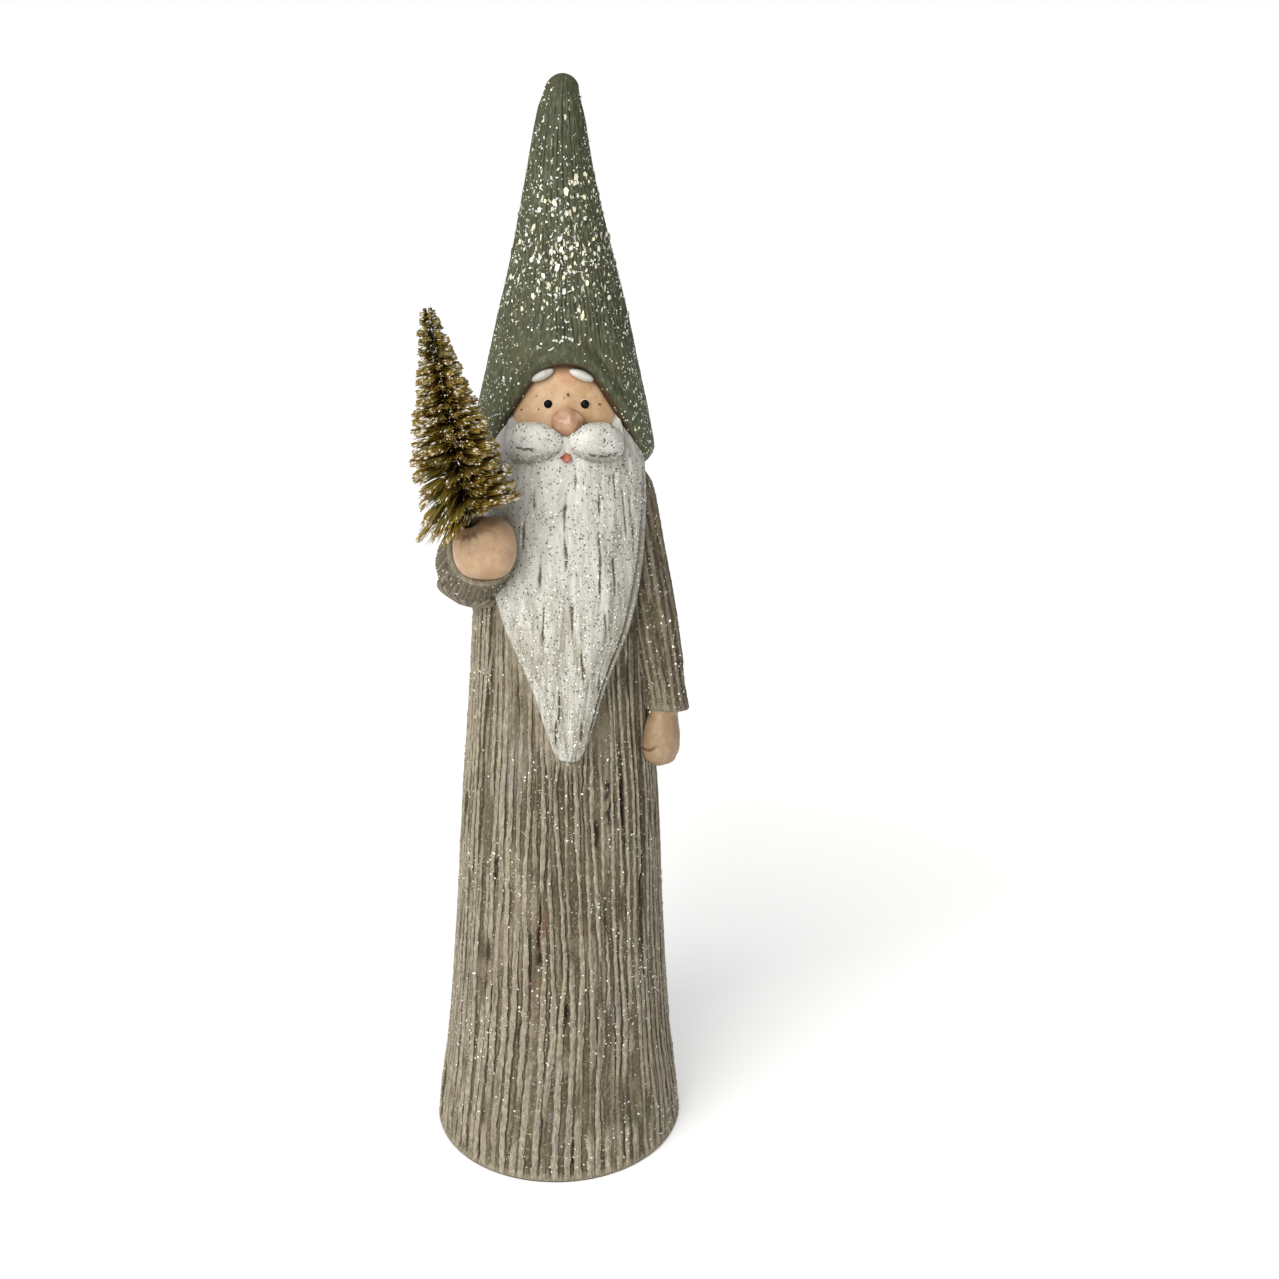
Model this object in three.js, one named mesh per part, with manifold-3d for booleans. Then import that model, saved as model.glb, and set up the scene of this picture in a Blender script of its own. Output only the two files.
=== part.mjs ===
// A tomte gnome figurine: a hollow ceramic figure, its limbs and face luted on, with a
// bottle-brush tree whose twisted wire stem stands in a soft plug in the right fist.
// Millimetres, +Z up. The figure faces -Y, and the origin is the middle of its foot.
import * as THREE from 'three';
import { mergeVertices } from 'three/addons/utils/BufferGeometryUtils.js';
import Module from 'manifold-3d';

const wasm = await Module();
wasm.setup();

// ---- driving dimensions ----
const HEIGHT = 350;
const FOOT_RADIUS = 43.8;
const WALL = 4.5;
const GAP = 0.4;               // left between pieces that are luted together
const NECK_HEIGHT = 238;
const NECK_HOLE = 9;

const DISC_THICKNESS = 4;
const VENT = { radius: 5, y: 20 };

const HEAD = { middle: 251, radius: 23, rise: 25, wall: 4 };

const HAT_BACK_RIM = 235;      // height of the brim at the sides and back
const HAT_FRONT_RIM = 267.4;   // height of the brim over the brow
const HAT_ARCH = { spread: 0.85, power: 2.5, lean: 0.045 };   // shape of the brim's arch, in radians
const HAT_WALL = 4;
const HAT_BOW = { low: 0.4, high: -0.7 };   // sideways bow of the cone, left hand positive

const BEARD_TIP = 146;
const BEARD_TOP = 247;
const SIDEBURN = 8;            // how far the beard climbs beside the face

const FIST = { x: -25.6, y: -36, z: 215.5, radius: 9.7, wrist: 8.2 };
const CUFF_LEFT = new THREE.Vector3(32.4, -15.5, 156.5);
const CUFF_RIGHT = new THREE.Vector3(-26.4, -31.5, 212.6);

const STEM_FOOT = new THREE.Vector3(-26.6, -37.5, 208.5);
const STEM_TIP = new THREE.Vector3(-40.3, -40, 284);
const WIRE_RADIUS = 0.55;
const TWIST_RADIUS = 0.77;     // from the stem's axis to each strand's middle
const TWIST_TURNS = 6;
const STEM_BORE = 1.75;        // clearance bore round the twisted pair
const PLUG = { radius: 2.6, length: 11 };
const STEM_HOLE = 3.0;
const BRUSH = { start: 18.5, radius: 17.7, tip: 2.6, tiers: 10, depth: 2.4 };

// ---- helpers ----
const point = (x, y) => new THREE.Vector2(x, y);

// A smooth outline through a few points, as steps for a lathe.
function outline(points, steps) {
  return new THREE.SplineCurve(points.map(([r, z]) => point(r, z))).getPoints(steps);
}

// Turns a profile of (radius, height) points round Z.
function turned(profile, sides) {
  return new THREE.LatheGeometry(profile, sides).rotateX(Math.PI / 2);
}

// Moves each vertex of a geometry by a function of its place.
function warped(geometry, move) {
  const place = geometry.attributes.position;
  const v = new THREE.Vector3();
  for (let i = 0; i < place.count; i += 1) {
    v.fromBufferAttribute(place, i);
    move(v);
    place.setXYZ(i, v.x, v.y, v.z);
  }
  return geometry;
}

// The same vertices, shared between faces, with only their places kept.
function shared(geometry) {
  const bare = geometry.clone();
  bare.deleteAttribute('normal');
  bare.deleteAttribute('uv');
  return mergeVertices(bare, 1e-3);
}

function toSolid(geometry) {
  const bare = shared(geometry);
  const index = bare.index.array;
  const kept = [];
  for (let i = 0; i < index.length; i += 3) {
    const [a, b, c] = [index[i], index[i + 1], index[i + 2]];
    if (a !== b && b !== c && c !== a) {
      kept.push(a, b, c);
    }
  }
  return new wasm.Manifold(new wasm.Mesh({
    numProp: 3,
    vertProperties: new Float32Array(bare.attributes.position.array),
    triVerts: new Uint32Array(kept),
  }));
}

function toGeometry(solid) {
  const mesh = solid.getMesh();
  const geometry = new THREE.BufferGeometry();
  geometry.setAttribute('position', new THREE.BufferAttribute(mesh.vertProperties, 3));
  geometry.setIndex(new THREE.BufferAttribute(mesh.triVerts, 1));
  return geometry;
}

// The geometry with its surface moved out along its normals.
function grown(geometry, amount = GAP) {
  const bare = shared(geometry);
  bare.computeVertexNormals();
  const normal = bare.attributes.normal;
  const place = bare.attributes.position;
  for (let i = 0; i < place.count; i += 1) {
    place.setXYZ(
      i,
      place.getX(i) + normal.getX(i) * amount,
      place.getY(i) + normal.getY(i) * amount,
      place.getZ(i) + normal.getZ(i) * amount,
    );
  }
  return bare;
}

// Cuts neighbours away, each with the luting gap round it.
function fitted(geometry, ...neighbours) {
  const cut = neighbours.reduce(
    (solid, neighbour) => solid.subtract(toSolid(grown(neighbour))),
    toSolid(geometry),
  );
  const largest = cut.decompose().reduce((a, b) => (b.volume() > a.volume() ? b : a));
  return toGeometry(largest);
}

// Carries a solid whose height runs from 0 to 1 along a curve, swelling by radiusAt(height).
function along(geometry, curve, radiusAt) {
  const side = new THREE.Vector3(1, 0, 0);
  return warped(geometry, (v) => {
    const t = THREE.MathUtils.clamp(v.z, 0, 1);
    const centre = curve.getPoint(t);
    const tangent = curve.getTangent(t);
    const across = new THREE.Vector3().crossVectors(tangent, side).normalize();
    const over = new THREE.Vector3().crossVectors(across, tangent);
    const radius = radiusAt(t);
    const { x, y } = v;
    v.copy(centre).addScaledVector(over, x * radius).addScaledVector(across, y * radius);
  });
}

// A flattened ball: its half sizes, its middle and its turn about the view axis (Y).
function pebble([a, b, c], [x, y, z], turn = 0, sides = 12) {
  return new THREE.SphereGeometry(1, sides, Math.round(sides * 0.66))
    .rotateX(Math.PI / 2)
    .scale(a, b, c)
    .rotateY(turn)
    .translate(x, y, z);
}

const lerp = THREE.MathUtils.lerp;
const smooth = THREE.MathUtils.smoothstep;

// ---- body ----
function robe() {
  const outside = outline([
    [FOOT_RADIUS, 0], [43, 10], [39.6, 36], [36.6, 72], [33.6, 121], [30.6, 160],
    [28.6, 195], [27.6, 216], [25.8, 230], [14, NECK_HEIGHT],
  ], 15);
  const inside = outline([
    [NECK_HOLE, NECK_HEIGHT], [14, 231], [22.5, 214], [25, 180], [29, 121], [33, 60],
    [FOOT_RADIUS - WALL, 0],
  ], 7);
  return turned([...outside, ...inside, outside[0]], 36);
}

function baseDisc() {
  const disc = new THREE.CylinderGeometry(
    FOOT_RADIUS - WALL - 3 * GAP, FOOT_RADIUS - WALL - GAP, DISC_THICKNESS, 40,
  );
  disc.rotateX(Math.PI / 2).translate(0, 0, DISC_THICKNESS / 2);
  const vent = new THREE.CylinderGeometry(VENT.radius, VENT.radius, 3 * DISC_THICKNESS, 20);
  vent.rotateX(Math.PI / 2).translate(0, VENT.y, 0);
  return toGeometry(toSolid(disc).subtract(toSolid(vent)));
}

// ---- head and hat ----
function head() {
  const shell = (shrink) => outline([
    [HEAD.radius * 0.84 - shrink, HEAD.middle - HEAD.rise * 0.5 + shrink],
    [HEAD.radius * 0.99 - shrink, HEAD.middle - HEAD.rise * 0.14],
    [HEAD.radius * 0.97 - shrink, HEAD.middle + HEAD.rise * 0.24],
    [HEAD.radius * 0.72 - shrink, HEAD.middle + HEAD.rise * 0.7],
    [HEAD.radius * 0.3, HEAD.middle + HEAD.rise * 0.96 - shrink],
    [0, HEAD.middle + HEAD.rise - shrink],
  ], 8);
  const neck = point(NECK_HOLE, NECK_HEIGHT + GAP);
  const inside = shell(HEAD.wall).reverse();
  return turned([...inside, neck, ...shell(0)], 28);
}

const hatOutline = outline([
  [28.6, HAT_BACK_RIM], [29.2, 240], [27.2, 251], [24.1, 264], [20.4, 281], [15.6, 300],
  [10.5, 323], [7.1, 341], [4.5, 347.4], [0, HEIGHT],
], 60);

// The hat's outside radius at a height.
function hatRadius(z) {
  const above = hatOutline.findIndex((p) => p.y >= z);
  if (above < 1) {
    return above < 0 ? 0 : hatOutline[0].x;
  }
  const [low, high] = [hatOutline[above - 1], hatOutline[above]];
  return lerp(low.x, high.x, (z - low.y) / (high.y - low.y));
}

// The brim's height at an angle from the front.
function rimHeight(angle) {
  const away = Math.abs(angle + HAT_ARCH.lean) / HAT_ARCH.spread;
  const fall = 1 - Math.exp(-(away ** HAT_ARCH.power));
  return lerp(HAT_FRONT_RIM, HAT_BACK_RIM, fall);
}

function hat() {
  const heights = [237, 240, 246, 253, 262, 273, 286, 301, 316, 330, 341, 347];
  const outside = heights.map((z) => point(hatRadius(z), z));
  const inside = [[0, 330], [2.6, 326], [hatRadius(301) - HAT_WALL, 301],
    [hatRadius(268) - HAT_WALL, 268], [hatRadius(240) - HAT_WALL, 240]];
  const lip = [[25.2, HAT_BACK_RIM], [27.2, HAT_BACK_RIM]];
  const profile = [
    ...inside.map(([r, z]) => point(r, z)),
    ...lip.map(([r, z]) => point(r, z)),
    ...outside,
    point(0, HEIGHT),
  ];
  return warped(turned(profile, 32), (v) => {
    const angle = Math.atan2(v.x, -v.y);
    const rise = (v.z - HAT_BACK_RIM) / (HEIGHT - HAT_BACK_RIM);
    const z = lerp(rimHeight(angle), HEIGHT, rise);
    const old = hatRadius(v.z);
    const scale = old > 0 ? hatRadius(z) / old : 1;
    const bow = lerp(HAT_BOW.low, HAT_BOW.high, smooth(z, 285, 325));
    const shift = bow * smooth(z, HAT_BACK_RIM, 255) * (1 - smooth(z, 340, HEIGHT));
    v.set(v.x * scale + shift, v.y * scale, z);
  });
}

// ---- face ----
const beardEdge = [
  [BEARD_TOP, 1.16], [230, 1.15], [216, 1.0], [199, 0.8], [187, 0.63], [176, 0.44],
  [167, 0.32], [153, 0.19], [BEARD_TIP, 0.03],
];

// Half the angle that the beard spans at a height.
function beardSpan(z) {
  const below = beardEdge.findIndex(([height]) => height <= z);
  if (below < 1) {
    return beardEdge[below < 0 ? beardEdge.length - 1 : 0][1];
  }
  const [high, low] = [beardEdge[below - 1], beardEdge[below]];
  return lerp(low[1], high[1], (z - low[0]) / (high[0] - low[0]));
}

function beard() {
  const block = new THREE.BoxGeometry(2, 1, 1, 14, 1, 16);
  return warped(block, (v) => {
    const across = v.x;
    const up = v.z + 0.5;
    const z = lerp(BEARD_TIP, BEARD_TOP, up);
    const angle = across * beardSpan(z);
    const beside = smooth(Math.abs(angle), 0.62, 0.85) * (1 - smooth(Math.abs(angle), 0.92, 1.1));
    const sideburn = SIDEBURN * beside * smooth(up, 0.75, 1);
    const crown = Math.sqrt(Math.max(0, 1 - Math.abs(across) ** 3));
    const front = lerp(35.4, 27.5, up ** 1.6) + 1.5 * Math.sin(Math.PI * up);
    const outside = front - 3.2 * (1 - crown);
    const radius = v.y < 0 ? outside : 20;
    v.set(radius * Math.sin(angle), -radius * Math.cos(angle), z + sideburn);
  });
}

const nose = () => pebble([4.9, 4.2, 4.2], [-0.1, -24.6, 250.9]);
const mouth = () => pebble([1.9, 1.6, 1.6], [-1, -28.2, 240.6], 0, 10);
const eye = (x) => pebble([1.15, 1.15, 1.15], [x, -Math.sqrt(22.6 ** 2 - x * x), 256.1], 0, 8);
const eyebrow = (x, turn) => pebble([3.9, 2.6, 1.75], [x, -Math.sqrt(20.6 ** 2 - x * x), 264.2], turn);

function moustache(side, middle) {
  const lobe = pebble([9.1, 4.4, 5.2], [0, 0, 0], 0, 14);
  warped(lobe, (v) => {
    const out = v.x * side;
    const droop = out > 0 ? -0.012 * out * out : 0;
    v.set(v.x, v.y + 0.02 * out * out + 0.2 * out, v.z * (1 + 0.02 * out) + droop);
  });
  return lobe.translate(middle, -26, 244.5);
}

// ---- arms ----
// A sleeve of length and radius 1. Its cuff is hollow down to depth, and opening is that hollow's radius.
function sleeveProfile(opening, depth) {
  return turned([
    point(0, 0), point(0.7, 0.03), point(0.93, 0.09), point(1, 0.2), point(1, 0.45),
    point(1, 0.7), point(1, 0.9), point(1, 0.98), point(0.96, 1), point(lerp(opening, 1, 0.35), 1),
    point(lerp(opening, 1, 0.12), 0.97), point(opening, depth), point(0, depth),
  ], 20);
}

function sleeveLeft() {
  const path = new THREE.CatmullRomCurve3([
    new THREE.Vector3(20.2, -5, 236),
    new THREE.Vector3(24.8, -9, 208),
    new THREE.Vector3(28.8, -12.5, 181),
    CUFF_LEFT,
  ]);
  return along(sleeveProfile(0.72, 0.88), path, (t) => 7.6 + 1.6 * t);
}

function handLeft() {
  const path = new THREE.LineCurve3(
    new THREE.Vector3(32.4, -16.6, 160.6),
    new THREE.Vector3(30.4, -19.3, 139),
  );
  const mitten = turned(outline([
    [0, 0], [0.62, 0.02], [0.75, 0.2], [1, 0.55], [0.8, 0.88], [0, 1],
  ], 12), 16);
  return along(mitten, path, () => 6.1);
}

function sleeveRight() {
  const upper = along(
    turned(outline([[0, 0], [0.8, 0.08], [1, 0.4], [1, 0.8], [0.78, 0.96], [0, 1]], 12), 20),
    new THREE.LineCurve3(new THREE.Vector3(-18, -3, 237), new THREE.Vector3(-30.3, -12, 191.8)),
    (t) => 8.4 + 2.6 * t,
  );
  const fore = along(
    sleeveProfile(0.88, 0.78),
    new THREE.CatmullRomCurve3([
      new THREE.Vector3(-28, 0, 204.6),
      new THREE.Vector3(-27.6, -17, 206.6),
      CUFF_RIGHT,
    ]),
    (t) => 12.4 - 1.5 * t,
  );
  return toGeometry(toSolid(upper).add(toSolid(fore)));
}

// ---- the tree and its socket ----
const stemAxis = STEM_TIP.clone().sub(STEM_FOOT);
const stemLength = stemAxis.length();
const stemTurn = new THREE.Quaternion().setFromUnitVectors(
  new THREE.Vector3(0, 0, 1),
  stemAxis.clone().normalize(),
);

// Stands a solid built up the Z axis on the stem's foot, turned to the stem's slant.
function onStem(geometry) {
  const place = STEM_FOOT;
  return geometry.applyQuaternion(stemTurn).translate(place.x, place.y, place.z);
}

function rod(radius, from, to, sides = 16) {
  return new THREE.CylinderGeometry(radius, radius, to - from, sides)
    .rotateX(Math.PI / 2)
    .translate(0, 0, (from + to) / 2);
}

function fist() {
  const ball = pebble(
    [FIST.radius, FIST.radius * 0.95, FIST.radius * 1.03], [FIST.x, FIST.y, FIST.z], 0, 18,
  );
  const wrist = along(
    turned([point(0, 0), point(1, 0), point(1, 1), point(0, 1)], 16),
    new THREE.LineCurve3(
      new THREE.Vector3(CUFF_RIGHT.x, CUFF_RIGHT.y + 5, CUFF_RIGHT.z - 1.5),
      new THREE.Vector3(FIST.x, FIST.y, FIST.z),
    ),
    () => FIST.wrist,
  );
  const hole = onStem(rod(STEM_HOLE, 0, 30));
  return toGeometry(toSolid(ball).add(toSolid(wrist)).subtract(toSolid(hole)));
}

function plug() {
  const body = toSolid(rod(PLUG.radius, GAP, GAP + PLUG.length));
  const bore = toSolid(rod(STEM_BORE, -1, PLUG.length + 2, 12));
  return onStem(toGeometry(body.subtract(bore)));
}

class Strand extends THREE.Curve {
  constructor(phase) {
    super();
    this.phase = phase;
  }

  getPoint(t, target = new THREE.Vector3()) {
    const angle = this.phase + t * TWIST_TURNS * 2 * Math.PI;
    return target.set(
      TWIST_RADIUS * Math.cos(angle),
      TWIST_RADIUS * Math.sin(angle),
      lerp(2 * GAP, stemLength, t),
    );
  }
}

function wire(phase) {
  const section = new THREE.Shape();
  section.absarc(0, 0, WIRE_RADIUS, 0, 2 * Math.PI);
  return onStem(new THREE.ExtrudeGeometry(section, {
    extrudePath: new Strand(phase),
    steps: 60,
    curveSegments: 3,
    bevelEnabled: false,
  }));
}

function brush() {
  const top = stemLength - 1;
  const profile = [point(STEM_BORE, BRUSH.start)];
  for (let tier = 0; tier < BRUSH.tiers; tier += 1) {
    const low = lerp(BRUSH.start, top, tier / BRUSH.tiers);
    const high = lerp(BRUSH.start, top, (tier + 0.8) / BRUSH.tiers);
    const wide = lerp(BRUSH.radius, BRUSH.tip, (tier / BRUSH.tiers) ** 1.15);
    profile.push(point(wide, low), point(Math.max(wide - BRUSH.depth, STEM_BORE + 0.4), high));
  }
  profile.push(point(STEM_BORE, top), profile[0]);
  return onStem(turned(profile, 20));
}

// ---- assembly ----
const finishes = {
  taupe: [0xa29784, 0.8, 0],
  sage: [0x7e8a6c, 0.75, 0],
  skin: [0xd9a583, 0.6, 0],
  white: [0xeeebe3, 0.7, 0],
  black: [0x100e0c, 0.25, 0],
  terracotta: [0xb4583f, 0.7, 0],
  plug: [0x6b5a3c, 0.9, 0],
  wire: [0x8a8168, 0.4, 0.9],
  bristle: [0x8a7430, 0.7, 0],
};

const figurine = new THREE.Group();

function place(name, geometry, finish) {
  const [color, roughness, metalness] = finishes[finish];
  const material = new THREE.MeshStandardMaterial({ color, roughness, metalness });
  const mesh = new THREE.Mesh(geometry, material);
  mesh.name = name;
  figurine.add(mesh);
}

const robeShape = robe();
const headShape = head();
const hatShape = hat();
const beardShape = beard();
const noseShape = nose();
const moustacheLeft = moustache(1, 7.9);
const moustacheRight = moustache(-1, -10.2);
const sleeveLeftShape = sleeveLeft();
const sleeveRightShape = sleeveRight();
const core = [robeShape, headShape, hatShape];
const face = [...core, beardShape, noseShape];

place('robe_shell', robeShape, 'taupe');
place('base_disc', baseDisc(), 'taupe');
place('head', headShape, 'skin');
place('hat', fitted(hatShape, headShape), 'sage');
place('beard', fitted(beardShape, ...core), 'white');
place('nose', fitted(noseShape, headShape, beardShape), 'skin');
place('moustache_left', fitted(moustacheLeft, ...face), 'white');
place('moustache_right', fitted(moustacheRight, ...face), 'white');
place('mouth', fitted(mouth(), ...face, moustacheLeft, moustacheRight), 'terracotta');
for (const [side, x, brow, turn] of [['left', 5.1, 4.3, 0.3], ['right', -6, -7.2, -0.3]]) {
  place(`eye_${side}`, fitted(eye(x), headShape), 'black');
  place(`eyebrow_${side}`, fitted(eyebrow(brow, turn), headShape, hatShape), 'white');
}
place('sleeve_left', fitted(sleeveLeftShape, ...core, beardShape), 'taupe');
place('hand_left', fitted(handLeft(), robeShape, sleeveLeftShape), 'skin');
place('sleeve_right', fitted(sleeveRightShape, ...core, beardShape), 'taupe');
place('hand_right', fitted(fist(), robeShape, beardShape, sleeveRightShape), 'skin');
place('stem_plug', plug(), 'plug');
place('tree_wire_a', wire(0), 'wire');
place('tree_wire_b', wire(Math.PI), 'wire');
place('tree_brush', brush(), 'bristle');

export default figurine;
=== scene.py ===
"""Looks of the tomte gnome figurine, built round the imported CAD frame.

Lengths are millimetres in the row frame until a mesh is made. An angle is measured round Z from the
front (-Y) towards the figure's left hand (+X). Every surface is a closed grid of rows and columns.
"""
import math

import bpy
import numpy as np
from mathutils import Matrix, Vector


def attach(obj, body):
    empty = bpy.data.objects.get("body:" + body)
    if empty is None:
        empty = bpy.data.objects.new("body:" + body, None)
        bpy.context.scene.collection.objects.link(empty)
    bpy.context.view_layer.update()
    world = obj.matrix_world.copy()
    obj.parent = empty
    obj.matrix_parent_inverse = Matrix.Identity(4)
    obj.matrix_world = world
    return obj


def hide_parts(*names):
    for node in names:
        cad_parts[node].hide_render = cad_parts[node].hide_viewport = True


MM = 0.001
TAU = 2 * math.pi

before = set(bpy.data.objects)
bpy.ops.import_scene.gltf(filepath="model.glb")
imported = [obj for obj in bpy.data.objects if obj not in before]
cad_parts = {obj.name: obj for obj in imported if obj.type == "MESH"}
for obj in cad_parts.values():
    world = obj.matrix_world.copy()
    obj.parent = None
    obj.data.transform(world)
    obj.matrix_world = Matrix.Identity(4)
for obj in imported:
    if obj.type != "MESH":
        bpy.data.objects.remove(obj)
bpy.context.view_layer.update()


# ---- small maths ----
def lerp(a, b, t):
    return a + (b - a) * t


def step(x, low, high):
    """0 below low, 1 above high, and smooth between them."""
    t = np.clip((np.asarray(x, float) - low) / (high - low), 0, 1)
    return t * t * (3 - 2 * t)


def hill(x, middle, width):
    """1 in the middle, and smoothly down to 0 on both sides."""
    return np.exp(-(((np.asarray(x, float) - middle) / width) ** 2))


def noise(x, y, seed, wrap=128):
    """Smooth value noise from -1 to 1, which repeats after wrap cells of x."""
    cells = np.random.default_rng(seed).uniform(-1, 1, (wrap, 256))
    x, y = np.broadcast_arrays(np.asarray(x, float), np.asarray(y, float))
    i, j = np.floor(x).astype(int), np.floor(y).astype(int)
    u, v = x - i, y - j
    u, v = u * u * (3 - 2 * u), v * v * (3 - 2 * v)
    low = lerp(cells[i % wrap, j % 256], cells[(i + 1) % wrap, j % 256], u)
    high = lerp(cells[i % wrap, (j + 1) % 256], cells[(i + 1) % wrap, (j + 1) % 256], u)
    return lerp(low, high, v)


def lumps(points, size, seed):
    """Noise over a surface in space, for grids of points."""
    x, y, z = np.moveaxis(points / size, -1, 0)
    return (noise(x, y, seed) + noise(y + 40, z, seed + 1) + noise(z, x + 9, seed + 2)) / 2


def curve(*pairs):
    """A smooth function through a few (height, value) pairs."""
    h, v = np.array(sorted(pairs), float).T
    slope = np.gradient(v, h)

    def at(x):
        x = np.clip(x, h[0], h[-1])
        i = np.clip(np.searchsorted(h, x) - 1, 0, len(h) - 2)
        w = h[i + 1] - h[i]
        t = (x - h[i]) / w
        a, b = 2 * t**3 - 3 * t**2 + 1, -2 * t**3 + 3 * t**2
        c, d = (t**3 - 2 * t**2 + t) * w, (t**3 - t**2) * w
        return a * v[i] + b * v[i + 1] + c * slope[i] + d * slope[i + 1]

    return at


def polar(angle, radius, z):
    """Points from angles round Z, radii and heights."""
    angle, radius, z = np.broadcast_arrays(angle, radius, z)
    return np.stack([radius * np.sin(angle), -radius * np.cos(angle), z], -1)


def unit(v):
    return v / np.linalg.norm(v, axis=-1, keepdims=True).clip(1e-12)


# ---- grids and meshes ----
def facing(points):
    """The normals of a grid and each point's share of its area. Rows go up, columns to the left hand."""
    across = (np.roll(points, -1, 1) - np.roll(points, 1, 1)) / 2
    n = np.cross(across, np.gradient(points, axis=0))
    area = np.linalg.norm(n, axis=-1)
    return n / area[..., None].clip(1e-12), area


def quads(rows, cols, ring):
    """The faces of a grid whose columns close round, and whose rows do too if it is a ring."""
    i = np.arange(rows if ring else rows - 1)[:, None]
    j = np.arange(cols)[None, :]
    up, on = (i + 1) % rows * cols, (j + 1) % cols
    return np.stack([i * cols + j, i * cols + on, up + on, up + j], -1).reshape(-1, 4)


def closed(points, values=None, ring=False):
    """(vertices, faces, values) of the closed body that a grid of points makes."""
    rows, cols = points.shape[:2]
    verts, faces = points.reshape(-1, 3), [quads(rows, cols, ring)]
    values = {k: np.broadcast_to(v, (rows, cols)).ravel() for k, v in (values or {}).items()}
    if not ring:
        for row in (0, rows - 1):
            rim = row * cols + np.arange(cols)
            hub = np.full(cols, len(verts))
            verts = np.vstack([verts, points[row].mean(0)])
            values = {k: np.append(v, v[rim].mean()) for k, v in values.items()}
            pair = (np.roll(rim, -1), rim) if row == 0 else (rim, np.roll(rim, -1))
            faces.append(np.stack([hub, *pair], -1))
    return verts, outward(verts, faces), values


def extended(values, rows, first=False, **fills):
    """The values of a grid that gets more rows, after its own or first. They hold a fill, or 0."""
    longer = {}
    for key, value in values.items():
        more = np.broadcast_to(np.asarray(fills.get(key, 0.0), float), (rows, value.shape[1]))
        longer[key] = np.concatenate([more, value] if first else [value, more])
    return longer


def tilted(points, turn):
    """Points turned about the y axis."""
    c, s = math.cos(turn), math.sin(turn)
    x, y, z = np.moveaxis(points, -1, 0)
    return np.stack([x * c + z * s, y, z * c - x * s], -1)


def outward(verts, faces):
    """The faces, turned over if they enclose their volume inside out."""
    volume = 0.0
    for f in faces:
        for k in range(1, f.shape[1] - 1):
            a, b, c = verts[f[:, 0]], verts[f[:, k]], verts[f[:, k + 1]]
            volume += np.einsum("ij,ij->", a, np.cross(b, c))
    return faces if volume > 0 else [f[:, ::-1] for f in faces]


def joined(*bodies):
    """Several closed bodies as one mesh's parts."""
    verts, faces, values = [], [], {}
    names = {k for b in bodies for k in b[2]}
    start = 0
    for v, f, own in bodies:
        verts.append(v)
        faces += [x + start for x in f]
        for k in names:
            values.setdefault(k, []).append(own.get(k, np.zeros(len(v))))
        start += len(v)
    return np.vstack(verts), faces, {k: np.concatenate(v) for k, v in values.items()}


def added(name, data):
    obj = bpy.data.objects.new(name, data)
    bpy.context.scene.collection.objects.link(obj)
    return obj


def piece(name, body, parts, material, replaces=(), flat=False):
    """Makes the mesh, and hangs it on its CAD body."""
    verts, faces, values = parts
    mesh = bpy.data.meshes.new(name)
    corners = np.concatenate([f.ravel() for f in faces]).astype(np.int32)
    sides = np.concatenate([np.full(len(f), f.shape[1]) for f in faces])
    starts = np.concatenate([[0], np.cumsum(sides)[:-1]]).astype(np.int32)
    mesh.vertices.add(len(verts))
    mesh.vertices.foreach_set("co", (np.asarray(verts) * MM).astype(np.float32).ravel())
    mesh.loops.add(len(corners))
    mesh.loops.foreach_set("vertex_index", corners)
    mesh.polygons.add(len(sides))
    mesh.polygons.foreach_set("loop_start", starts)
    mesh.polygons.foreach_set("use_smooth", np.full(len(sides), not flat))
    for key, value in values.items():
        layer = mesh.attributes.new(key, "FLOAT", "POINT")
        layer.data.foreach_set("value", np.asarray(value, np.float32))
    mesh.update(calc_edges=True)
    mesh.validate()
    mesh.materials.append(material)
    obj = added(name, mesh)
    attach(obj, body)
    if replaces:
        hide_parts(*replaces)
    return obj


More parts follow.
